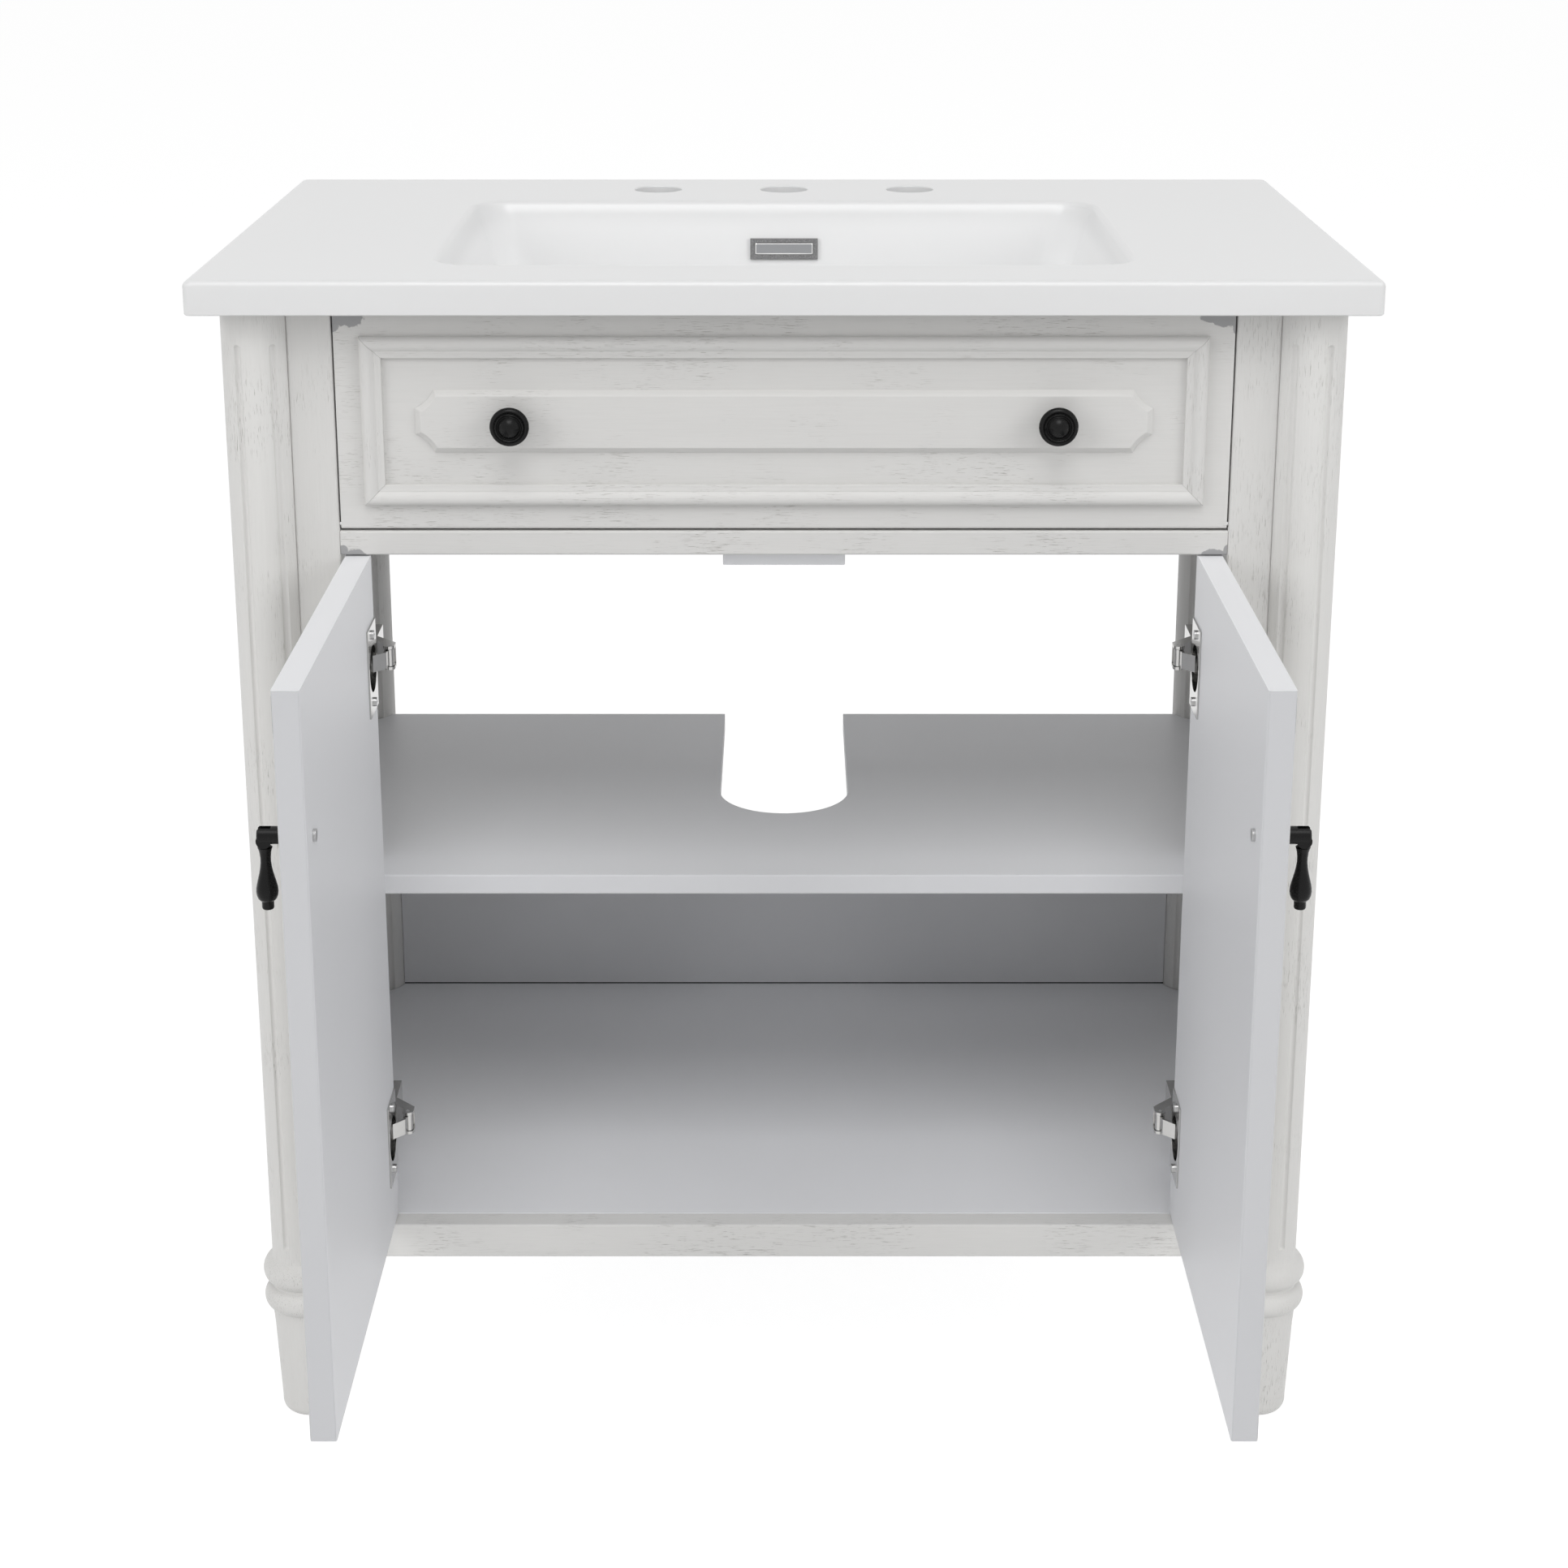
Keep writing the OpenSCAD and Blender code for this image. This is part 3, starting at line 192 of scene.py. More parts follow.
# %% Group: a rubbed patch
patch_group, gi, go = new_group(
    "Rubbed patch",
    [("Position", "NodeSocketVector", None), ("Centre", "NodeSocketVector", (0, 0, 0)),
     ("Half size", "NodeSocketVector", (0.01, 0.01, 0.01)), ("Ragged", "NodeSocketFloat", 0.5)],
    [("Patch", "NodeSocketFloat")])
offset = vector_maths(patch_group, "SUBTRACT", gi["Position"], gi["Centre"])
spread = vector_maths(patch_group, "DIVIDE", offset, gi["Half size"])
reach = vector_maths(patch_group, "LENGTH", spread)
tear = noise(patch_group, gi["Position"], 260.0, 2.0, 0.5)
tear = maths(patch_group, "SUBTRACT", tear, 0.5)
tear = maths(patch_group, "MULTIPLY", tear, gi["Ragged"])
edge = maths(patch_group, "ADD", reach, tear)
patch_group.links.new(ramp(patch_group, edge, 0.90, 1.06, reverse=True), go["Patch"])
print("patch group ready")

# %% [markdown]
# The paint is warm off-white and satin. The same recipe serves the rails, whose
# grain runs along X, and the posts and doors, whose grain runs up. Only the
# Mapping node differs: it squeezes space across the grain, which draws the noise
# out into long strokes. Each board gets its own seed so that no two match. The legs
# and the bottom rail get less light, so their paint is made a shade lighter: painted light.

# %% Finish: worn paint
PAINT = (0.675, 0.669, 0.655, 1)
# Painted light: the legs and the bottom rail get less light, so their paint is lighter than the
# rest.
LEG_PAINT_WITH_PAINTED_LIGHT = (0.735, 0.729, 0.713, 1)
LOW_PAINT_WITH_PAINTED_LIGHT = (0.785, 0.779, 0.762, 1)
SCRATCH = (0.29, 0.28, 0.255, 1)
PRIMER = (0.34, 0.34, 0.345, 1)


def principled(name, colour=None, rough=0.5):
    """A new material, its tree, its shader and the object coordinates."""
    material = bpy.data.materials.new(name)
    material.use_nodes = True
    tree = material.node_tree
    shader = tree.nodes["Principled BSDF"]
    if colour is not None:
        shader.inputs["Base Color"].default_value = colour
    shader.inputs["Roughness"].default_value = rough
    place = add(tree, "ShaderNodeTexCoord", (-1400, 0)).outputs["Object"]
    return material, tree, shader, place


def mix_colour(tree, factor, a, b):
    """Two colours, given or from nodes, mixed by the output of a node."""
    node = add(tree, "ShaderNodeMix", data_type="RGBA")
    tree.links.new(factor, node.inputs[0])
    for socket, value in ((node.inputs[6], a), (node.inputs[7], b)):
        if isinstance(value, tuple):
            socket.default_value = value
        else:
            tree.links.new(value, socket)
    return node.outputs[2]


def bump(tree, shader, height, strength, distance):
    """Relief from a height that changes over the surface."""
    node = add(tree, "ShaderNodeBump")
    node.inputs["Strength"].default_value = strength
    node.inputs["Distance"].default_value = distance
    tree.links.new(height, node.inputs["Height"])
    tree.links.new(node.outputs["Normal"], shader.inputs["Normal"])


ALONG, ACROSS = 1.4, 30


def worn_paint(name, grain, seed, amount=0.6, patches=(), colour=PAINT):
    """Satin paint with scratches along grain ("X", "Y" or "Z") and rubbed patches."""
    material, tree, shader, place = principled(name)
    mapping = add(tree, "ShaderNodeMapping", (-1200, 0))
    mapping.inputs["Scale"].default_value = [ALONG if axis == grain else ACROSS
                                             for axis in "XYZ"]
    tree.links.new(place, mapping.inputs["Vector"])
    group = add(tree, "ShaderNodeGroup", (-900, 0), node_tree=scratch_group)
    tree.links.new(mapping.outputs[0], group.inputs["Along grain"])
    tree.links.new(place, group.inputs["Position"])
    group.inputs["Amount"].default_value = amount
    group.inputs["Seed"].default_value = seed
    light = tuple(min(1, c * 1.05) for c in colour[:3]) + (1,)
    dark = tuple(c * 0.94 for c in colour[:3]) + (1,)
    base = mix_colour(tree, group.outputs["Brushing"], dark, light)
    base = mix_colour(tree, group.outputs["Scratches"], base, SCRATCH)
    bare = None
    for centre, half, ragged in patches:
        patch = add(tree, "ShaderNodeGroup", node_tree=patch_group)
        tree.links.new(place, patch.inputs["Position"])
        patch.inputs["Centre"].default_value = centre
        patch.inputs["Half size"].default_value = half
        patch.inputs["Ragged"].default_value = ragged
        mask = patch.outputs["Patch"]
        bare = mask if bare is None else maths(tree, "MAXIMUM", bare, mask)
    if bare is not None:
        base = mix_colour(tree, bare, base, PRIMER)
    tree.links.new(base, shader.inputs["Base Color"])
    rough = maths(tree, "MULTIPLY_ADD", group.outputs["Brushing"], 0.12, 0.42)
    tree.links.new(rough, shader.inputs["Roughness"])
    bump(tree, shader, group.outputs["Height"], 0.35, 0.0004)
    return material


print("worn paint ready")

# %% [markdown]
# The inside of the cabinet is board with a smooth, cool, pale lining. One flat
# colour would look like film. Close to, the lining has a faint pebble that breaks
# up the highlight and a slight drift in tone, and two noises give both. The boards
# differ a little in tone, so each gets its own mix. Where the back panel meets the
# cabinet floor, a thin dark line is painted: painted shade where the two meet.

# %% Finish: lined board
def lined_board(name, colour, shade_line=None):
    """Lining of a colour, with a thin line of painted shade in front of the given y and below the
    given z.
    """
    material, tree, shader, place = principled(name, rough=0.42)
    pebble = noise(tree, place, 900.0, 2.0, 0.5)
    drift = noise(tree, place, 6.0, 2.0, 0.5)
    low = tuple(c * 0.985 for c in colour[:3]) + (1,)
    base = mix_colour(tree, drift, low, colour)
    # Painted shade: a thin dark line at the foot of the back panel, where it meets the floor.
    if shade_line is not None:
        _, y, z = axes(tree, place)
        dark = maths(tree, "MULTIPLY", maths(tree, "LESS_THAN", y, shade_line[0]),
                     maths(tree, "LESS_THAN", z, shade_line[1]))
        base = mix_colour(tree, dark, base, (0.05, 0.05, 0.055, 1))
    tree.links.new(base, shader.inputs["Base Color"])
    rough = maths(tree, "MULTIPLY_ADD", pebble, 0.10, 0.38)
    tree.links.new(rough, shader.inputs["Roughness"])
    shader.inputs["Specular IOR Level"].default_value = 0.3
    bump(tree, shader, pebble, 0.12, 0.0002)
    return material


board_lining = lined_board("cool lined board", (0.865, 0.870, 0.890, 1))
floor_lining = lined_board("cool floor lining", (0.885, 0.890, 0.910, 1))
shelf_lining = lined_board("cool shelf lining", (0.815, 0.820, 0.838, 1))
# The back lining gets the thin line of painted shade where it meets the cabinet floor.
back_lining = lined_board("cool back lining", (0.77, 0.775, 0.795, 1),
                          (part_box("lower_back_panel")[0].y + 0.3 * MM,
                           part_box("floor_panel")[1].z + 0.9 * MM))
door_lining = lined_board("cool door lining", (0.745, 0.75, 0.77, 1))
edge_band = lined_board("edge band", (0.62, 0.625, 0.643, 1))
print("lined board ready")

# %% [markdown]
# Glazed ceramic is a white body under clear glass. A glossy white would do from
# afar, but a coat over a rougher white base has the depth of the real thing, and a
# very broad, weak bump makes the glaze pull the highlights about a little, as fired
# clay does. The base is painted lighter in the bowl, and lighter still down the steep
# side walls and in the tap holes: painted light where these hollows lie in shade.
# Depths are counted from the top's front edge, widths from its middle.

# %% Finish: glazed ceramic
# Painted light: a lighter base for the bowl, and lighter still for its steep walls and the tap
# holes, where shade falls.
BOWL_PAINTED_LIGHT, WALL_PAINTED_LIGHT = (0.825, 0.827, 0.829, 1), (0.92, 0.922, 0.924, 1)
DEEP_FROM, DEEP_TO, DEEP_HALF = 0.03, 0.46, 0.30
WALL_FROM, WALL_FULL = 0.195, 0.212
WALL_FADES, WALL_ENDS, HOLES_FROM = 0.31, 0.345, 0.40


def glazed_ceramic(name):
    """White body under a soft clear coat, painted lighter in the shaded bowl, walls and holes."""
    material, tree, shader, place = principled(name, rough=0.30)
    tone = noise(tree, place, 3.0, 2.0, 0.5)
    flat = mix_colour(tree, tone, (0.745, 0.747, 0.749, 1), (0.763, 0.765, 0.766, 1))
    x, y, z = axes(tree, place)
    aside = maths(tree, "ABSOLUTE", x)
    within = maths(tree, "MULTIPLY", maths(tree, "GREATER_THAN", y, front_y + DEEP_FROM),
                   maths(tree, "LESS_THAN", y, front_y + DEEP_TO))
    within = maths(tree, "MULTIPLY", within, maths(tree, "LESS_THAN", aside, DEEP_HALF))
    # The painted light in the bowl: below the top the base turns lighter, and lighter still on the
    # side walls and in the holes.
    deep = ramp(tree, z, top_z - 0.022, top_z - 0.001, reverse=True)
    deep = maths(tree, "MULTIPLY", deep, within)
    walls = maths(tree, "MULTIPLY", ramp(tree, aside, WALL_FROM, WALL_FULL),
                  ramp(tree, y, front_y + WALL_FADES, front_y + WALL_ENDS, reverse=True))
    holes = maths(tree, "GREATER_THAN", y, front_y + HOLES_FROM)
    white = mix_colour(tree, maths(tree, "MAXIMUM", walls, holes), BOWL_PAINTED_LIGHT, WALL_PAINTED_LIGHT)
    tree.links.new(mix_colour(tree, deep, flat, white), shader.inputs["Base Color"])
    shader.inputs["Coat Weight"].default_value = 0.28
    shader.inputs["Coat Roughness"].default_value = 0.20
    wave = noise(tree, place, 14.0, 1.0, 0.4)
    bump(tree, shader, wave, 0.05, 0.002)
    return material


ceramic = glazed_ceramic("white glazed ceramic")
print("ceramic ready")

# %% [markdown]
# The hinges are polished nickel, their screws bright steel, the knobs and pulls
# satin black, and the overflow cover holds a brushed plate with a bright rim. A
# plain metallic shader would be a perfect mirror, which no pressed or cast piece
# is, so a fine noise goes into its roughness and bump. The recipe also serves the
# moulded tray behind the front, which is no metal.

# %% Finish: metals and plastic
def metal(name, colour, rough, metallic=1.0, grain=400.0, stretch=(1, 1, 1), depth=0.05,
          gloss=0.5):
    """A hard finish whose roughness and bump follow a fine noise."""
    material, tree, shader, place = principled(name, rough=rough)
    mapping = add(tree, "ShaderNodeMapping")
    mapping.inputs["Scale"].default_value = stretch
    tree.links.new(place, mapping.inputs["Vector"])
    fine = noise(tree, mapping.outputs[0], grain, 3.0, 0.6)
    dark = tuple(c * 0.9 for c in colour[:3]) + (1,)
    tree.links.new(mix_colour(tree, fine, dark, colour), shader.inputs["Base Color"])
    shader.inputs["Metallic"].default_value = metallic
    spread = maths(tree, "MULTIPLY_ADD", fine, 0.12, rough - 0.04)
    tree.links.new(spread, shader.inputs["Roughness"])
    shader.inputs["Specular IOR Level"].default_value = gloss
    bump(tree, shader, fine, depth, 0.0002)
    return material


nickel = metal("polished nickel", (0.56, 0.555, 0.545, 1), 0.13)
bright_steel = metal("bright screws", (0.55, 0.55, 0.55, 1), 0.28)
brushed_plate = metal("brushed plate", (0.31, 0.315, 0.325, 1), 0.34, grain=60.0,
                      stretch=(2, 60, 60), depth=0.1)
bright_rim = metal("bright rim", (0.86, 0.86, 0.85, 1), 0.12)
satin_black = metal("satin black", (0.004, 0.004, 0.004, 1), 0.26, metallic=0.0, grain=700.0,
                    gloss=0.20)
tray_white = metal("moulded tray", (0.72, 0.72, 0.71, 1), 0.5, metallic=0.0, grain=500.0)
print("metals ready")

# %% [markdown]
# The imported solids have knife-sharp arrises. Real boards are sanded before they
# are painted, so a copy of each board is merged, its flat faces are joined and a
# narrow bevel is put on every hard edge. The copy then stands for the solid. A
# shader could fake the bevel, but the mesh itself would not have it.

# %% Helper: dress a solid with eased edges
def finish_piece(obj, body, material, slot, *replaced):
    """Give a piece its finish or finishes, its body and what it stands for; slot is not used."""
    if isinstance(material, tuple):
        for one in material:
            obj.data.materials.append(one)
    else:
        obj.data.materials.clear()
        obj.data.materials.append(material)
    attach(obj, body)
    if replaced:
        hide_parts(*replaced)
    return obj


def linked(name, work):
    """Turn bmesh work into an object of the scene."""
    mesh = bpy.data.meshes.new(name)
    work.to_mesh(mesh)
    work.free()
    obj = bpy.data.objects.new(name, mesh)
    scene.collection.objects.link(obj)
    return obj


def copy_solid(node, name):
    """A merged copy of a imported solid, its flat faces joined."""
    work = bmesh.new()
    work.from_mesh(nodes[node].data)
    bmesh.ops.remove_doubles(work, verts=work.verts, dist=1e-6)
    bmesh.ops.dissolve_limit(work, angle_limit=math.radians(0.6), verts=work.verts,
                             edges=work.edges)
    return linked(name, work)


def apply_modifiers(obj):
    """Make the modifiers' result the object's own mesh."""
    graph = bpy.context.evaluated_depsgraph_get()
    mesh = bpy.data.meshes.new_from_object(obj.evaluated_get(graph))
    obj.modifiers.clear()
    obj.data = mesh


def smooth(obj, degrees=35, flat_lead=True):
    """Smooth shading with sharp edges kept, in which the large flat faces lead."""
    obj.data.polygons.foreach_set("use_smooth", [True] * len(obj.data.polygons))
    obj.data.set_sharp_from_angle(angle=math.radians(degrees))
    if flat_lead:
        lead = obj.modifiers.new("large faces lead", "WEIGHTED_NORMAL")
        lead.keep_sharp = True
        apply_modifiers(obj)


SLOT_OF = {row["node"]: row["material_slot"] for row in frame["record"]["subparts"]}
BODY_OF = {n: body for body, members in frame["record"]["behaviour"]["bodies"].items()
           for n in members}


def eased(node, material, width=0.8 * MM):
    """A copy of a solid with its hard edges eased, in its place."""
    obj = copy_solid(node, "dressed_" + node)
    if width:
        bevel = obj.modifiers.new("eased edges", "BEVEL")
        bevel.width = width
        bevel.segments = 3
        bevel.limit_method = "ANGLE"
        bevel.angle_limit = math.radians(30)
        apply_modifiers(obj)
    smooth(obj)
    return finish_piece(obj, BODY_OF[node], material, SLOT_OF[node], node)


print("slots:", sorted(set(SLOT_OF.values())))

# %% [markdown]
# The frame of the cabinet: stiles, rails, side panels and the boards inside. The
# solids already are these boards, so they are dressed and not made again. Grain
# runs the long way of each board. The middle rail is rubbed at its lower corners,
# where a hand catches it.

# %% Dress the frame
rail_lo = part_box("middle_rail")[0]
RAIL_RUBS = [(-301.5, 2.0, 4.5, 5.5), (-292.0, 0.0, 7.0, 4.2), (293.0, 0.8, 8.0, 3.6),
             (301.5, 2.5, 2.5, 5.0)]


def rubs(rows, face_y, from_z):
    """Rubbed spots from rows of x, height over from_z, half width and half height, in mm."""
    return [((x * MM, face_y, from_z + z * MM), (w * MM, 6 * MM, h * MM), 0.9)
            for x, z, w, h in rows]


rail_patches = rubs(RAIL_RUBS, rail_lo.y, rail_lo.z)
paint_up = worn_paint("worn paint, upright grain", "Z", 3.1)
paint_up_right = worn_paint("worn paint, upright grain, right", "Z", 17.4)
paint_rail = worn_paint("worn paint, middle rail", "X", 8.2, 0.75, rail_patches)
# The bottom rail's paint is lighter: painted light for the shade it stands in.
paint_low = worn_paint("worn paint, bottom rail", "X", 12.9, 0.7, colour=LOW_PAINT_WITH_PAINTED_LIGHT)
eased("stile_left", paint_up, 0.6 * MM)
eased("stile_right", paint_up_right, 0.6 * MM)
eased("middle_rail", paint_rail, 0.6 * MM)
eased("bottom_rail", paint_low, 0.6 * MM)
eased("side_panel_left", worn_paint("worn paint, left side", "Z", 21.0), 0.8 * MM)
eased("side_panel_right", worn_paint("worn paint, right side", "Z", 27.0), 0.8 * MM)
for board in ("liner_left", "liner_right", "upper_back_rail", "door_stop"):
    eased(board, board_lining, 0.8 * MM)
eased("floor_panel", floor_lining, 0.8 * MM)
eased("shelf", shelf_lining, 0.8 * MM)
eased("lower_back_panel", back_lining, 0.8 * MM)

# %% [markdown]
# Each door is one flat board, painted outside and lined inside, with a slightly
# darker band on its upright edges. Thin skins could carry the finishes, but they
# would show as steps. Here one mesh holds them all, and each face takes one by the
# way that it points. The outer arris is also rubbed a little at its ends.

# %% Helpers: the faces and the worn edge of a door
def two_faced(obj, outward):
    """Keep the paint outside, line the inside, the top and foot, band the other edges."""
    for material in (door_lining, edge_band, board_lining):
        obj.data.materials.append(material)
    for polygon in obj.data.polygons:
        facing = polygon.normal.dot(outward)
        if abs(facing) > 0.75:
            polygon.material_index = 0 if facing > 0 else 1
        else:
            polygon.material_index = 3 if abs(polygon.normal.z) > 0.7 else 2


def edge_wear(side):
    """Thin grey rubs along the outer arris of a door's free edge."""
    lo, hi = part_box(side + "_door_panel")
    x = lo.x if side == "left" else hi.x
    return [((x, lo.y, z), (0.0012, 0.0012, half), 0.8)
            for z, half in ((hi.z - 0.016, 0.015), (lo.z + 0.009, 0.009))]


print("door helpers ready")

# %% [markdown]
# The doors and the tilting front are framed by a moulding. The real one is a long
# strip, cut at 45 degrees and glued round the panel. The mesh does the same: the
# strip's outline is set at both ends of each length, each point moved along by as
# much as it lies inward, and faces join the two. A curve with a bevel would run on
# round the corner, while cut ends keep the fine line of a mitre.

# %% Helper: a mitred moulding
OUTLINE = [(0, 0), (0, 2.0), (0.35, 3.5), (1.2, 4.9), (2.6, 6.0), (4.5, 6.5), (6.4, 6.15),
           (8.0, 5.35), (9.2, 4.5), (9.6, 4.0), (9.85, 3.85), (10.1, 3.9), (10.8, 3.85),
           (11.9, 3.5), (13.0, 3.25), (14.2, 3.15), (14.5, 2.9), (14.5, 0)]
MITRE_GAP = 0.1 * MM
UP = Vector((0, 0, 1))


def plane_of(node, outward):
    """Centre on the board, the direction across, and the width and height of a flat trim."""
    lo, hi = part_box(node)
    across = UP.cross(outward)
    middle = (lo + hi) / 2
    seat = middle - outward * abs((hi - lo).dot(outward)) / 2
    return seat, across, abs((hi - lo).dot(across)), hi.z - lo.z


def closed_object(name, work):
    """An object of closed shells, with every face turned outward."""
    bmesh.ops.recalc_face_normals(work, faces=work.faces)
    return linked(name, work)


def skin(work, loops):
    """Faces between each loop of points and the next one."""
    for low, high in zip(loops, loops[1:]):
        for i in range(len(low)):
            j = (i + 1) % len(low)
            work.faces.new((low[i], low[j], high[j], high[i]))


def mitred_frame(node, outward, level, upright):
    """Four lengths of moulding round a panel, with open mitres at the corners."""
    seat, across, width, height = plane_of(node, outward)
    work = bmesh.new()
    for turn in range(4):
        length, other = (width, height) if turn % 2 == 0 else (height, width)
        angle = math.radians(90 * turn)
        along = across * math.cos(angle) + UP * math.sin(angle)
        inward = UP * math.cos(angle) - across * math.sin(angle)
        start = seat - along * length / 2 - inward * other / 2
        ends = []
        for end in (0, 1):
            ends.append([])
            for u, v in OUTLINE:
                s = u * MM + MITRE_GAP
                s = length - s if end else s
                ends[end].append(work.verts.new(start + along * s + inward * u * MM
                                                + outward * v * MM))
        faces = [work.faces.new(ends[0]), work.faces.new(ends[1])]
        for i in range(len(OUTLINE)):
            j = (i + 1) % len(OUTLINE)
            faces.append(work.faces.new((ends[0][i], ends[1][i], ends[1][j], ends[0][j])))
        for face in faces:
            face.material_index = turn % 2
    obj = closed_object("dressed_" + node, work)
    smooth(obj, 32)
    return finish_piece(obj, BODY_OF[node], (level, upright), SLOT_OF[node], node)


print("moulding outline:", len(OUTLINE), "points")

# %% [markdown]
# Inside the moulding lies a raised plaque: a thin board with a broad slope round it
# and a hollow cut from each corner. A Boolean could cut the hollows, but the slope
# has to follow them. So the outline is worked out for each height of the slope, the
# hollow's arc growing by as much as the sides come in, and the outlines are skinned.

# %% Helper: a plaque with hollowed corners
NOTCH_OUT, NOTCH, ARC_STEPS = 10.0, 12.6, 12
BEVEL = [(0.0, 0.0), (0.0, 0.4), (0.2, 0.7), (3.5, 3.8), (3.9, 3.96), (4.5, 4.0)]


def hollowed(width, height, inset):
    """Outline of a board with a hollow cut from each corner, in mm from its centre."""
    hx, hz = width / 2 - inset, height / 2 - inset
    r = math.hypot(NOTCH + NOTCH_OUT, NOTCH_OUT) + inset
    points = []
    for sx, sz in ((1, -1), (1, 1), (-1, 1), (-1, -1)):
        cx, cz = sx * (width / 2 + NOTCH_OUT), sz * (height / 2 + NOTCH_OUT)
        ends = [(cx - sx * math.sqrt(r * r - (abs(cz) - hz) ** 2), sz * hz),
                (sx * hx, cz - sz * math.sqrt(r * r - (abs(cx) - hx) ** 2))]
        if sx * sz > 0:
            ends.reverse()
        a, b = (math.atan2(z - cz, x - cx) for x, z in ends)
        turn = (b - a + math.pi) % (2 * math.pi) - math.pi
        for i in range(ARC_STEPS + 1):
            at = a + turn * i / ARC_STEPS
            points.append((cx + r * math.cos(at), cz + r * math.sin(at)))
    return points


def plaque(node, outward, paint):
    """A raised plaque with a broad bevel and hollowed corners."""
    seat, across, width, height = plane_of(node, outward)
    work = bmesh.new()
    rings = [[work.verts.new(seat + across * x * MM + UP * z * MM + outward * lift * MM)
              for x, z in hollowed(width / MM, height / MM, inset)] for inset, lift in BEVEL]
    work.faces.new(rings[0])
    work.faces.new(rings[-1])
    skin(work, rings)
    obj = closed_object("dressed_" + node, work)
    smooth(obj, 25)
    return finish_piece(obj, BODY_OF[node], paint, SLOT_OF[node], node)


print("plaque slope:", len(BEVEL), "outlines")

# %% Dress the doors
for side, outward in (("left", Vector((-1, 0, 0))), ("right", Vector((1, 0, 0)))):
    seed = 33.0 if side == "left" else 41.0
    paint = worn_paint("worn paint, " + side + " door", "Z", seed, 0.6, edge_wear(side))
    panel = eased(side + "_door_panel", paint, 0.7 * MM)
    two_faced(panel, outward)
    mitred_frame(side + "_door_moulding", outward,
                 worn_paint("worn paint, level moulding, " + side, "Y", seed + 2), paint)
    plaque(side + "_door_plaque", outward, paint)
print("doors dressed")

# %% [markdown]
# The front above the doors tips out. Its upper corners are rubbed down to the
# primer. It is made with the same helpers as the doors. The grain of its moulding
# follows each length, so the level lengths and the upright ones have a paint each.

# %% Dress the tilting front
tilt_lo, tilt_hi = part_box("tilt_panel")
CORNER_RUBS = [(-291.5, -5.5, 11.0, 5.2), (-301.0, -9.5, 5.0, 6.0), (293.5, -5.0, 9.5, 5.5),
               (284.0, -4.5, 7.0, 3.5), (301.5, -10.0, 2.5, 6.0)]
corner_patches = rubs(CORNER_RUBS, tilt_lo.y, tilt_hi.z)
paint_tilt = worn_paint("worn paint, tilting front", "X", 52.0, 0.8, corner_patches)
eased("tilt_panel", paint_tilt, 0.5 * MM)
FORWARD = Vector((0, -1, 0))
mitred_frame("tilt_moulding", FORWARD, worn_paint("worn paint, level moulding", "X", 57.0, 0.7),
             worn_paint("worn paint, upright moulding", "Z", 59.0, 0.7))
plaque("tilt_plaque", FORWARD, worn_paint("worn paint, plaque", "X", 63.0, 0.5))
eased("tilt_tray", tray_white, 0.5 * MM)
print("tilting front dressed")

# %% [markdown]
# Hinges, pins, screws and pulls are small pressed or cast pieces. They could be
# modelled anew, but the solids already have their working shapes, so each gets a
# finer bevel than the boards, and its metal. The drop of a pull is round all over:
# it is only shaded smooth.

# %% Dress the metal pieces
for side in ("left", "right"):
    eased(side + "_hinge_cups", nickel, 0.3 * MM)
    eased(side + "_hinge_links", nickel, 0.3 * MM)
    eased(side + "_cup_screws", bright_steel, 0.15 * MM)
    eased(side + "_pull_base", satin_black, 0.3 * MM)
    eased(side + "_pull_drop", satin_black, 0)
    eased(side + "_pull_screw", bright_steel, 0.2 * MM)
for node in ("hinge_plates", "hinge_arms"):
    eased(node, nickel, 0.3 * MM)
for node in ("hinge_plate_screws", "hinge_pins", "tilt_pins", "tilt_knob_screws", "shelf_pins"):
    eased(node, bright_steel, 0.12 * MM)
print("metal pieces dressed")

# %% [markdown]
# Each leg is turned: a tapering foot, two beads and a straight column. Cylinders and
# rings stacked on each other would leave seams. A lathe makes the shape in one, and
# so does this profile spun round the axis. Its rows of points lie close where the
# flutes will end, and far apart between.

# %% Spin the leg's profile
LEG_R, FLUTE_R, FLUTE_OUT, FLUTES = 0.0235, 0.0026, 0.0006, 6
FLUTE_LOW, FLUTE_HIGH, FIRST_FLUTE = 0.140, leg_top - 0.023, math.radians(-6)


def arc(cr, cz, r, start, end, steps):
    """Points of an arc round (cr, cz), from one angle to another in degrees."""
    return [(cr + r * math.cos(math.radians(start + (end - start) * i / steps)),
             cz + r * math.sin(math.radians(start + (end - start) * i / steps)))
            for i in range(steps + 1)]


FOOT_R, FOOT_SPREAD, FOOT_FROM, FOOT_RISE = 0.0213, 0.0032, 0.012, 0.074
foot = [(0.0, 0.0)] + arc(0.0133, 0.008, 0.008, -90, 0, 8) + [(FOOT_R, FOOT_FROM)]
foot += [(FOOT_R + FOOT_SPREAD * t / 6, FOOT_FROM + FOOT_RISE * t / 6) for t in range(1, 6)]
beads = arc(0.0204, 0.0959, 0.010, -62, 64, 12) + arc(0.0188, 0.1175, 0.0116, -62, 62, 14)
SPAN_LOW, SPAN_HIGH = 0.16, FLUTE_HIGH - 0.02
rows = [0.129, 0.133, 0.137]
rows += [FLUTE_LOW + FLUTE_R * t / 6 for t in range(7)]
rows += [SPAN_LOW + (SPAN_HIGH - SPAN_LOW) * t / 10 for t in range(11)]
rows += [FLUTE_HIGH - FLUTE_R + FLUTE_R * t / 6 for t in range(7)]
rows += [leg_top - 0.004, leg_top]
profile = foot + beads + [(LEG_R, z) for z in rows] + [(0.0, leg_top)]


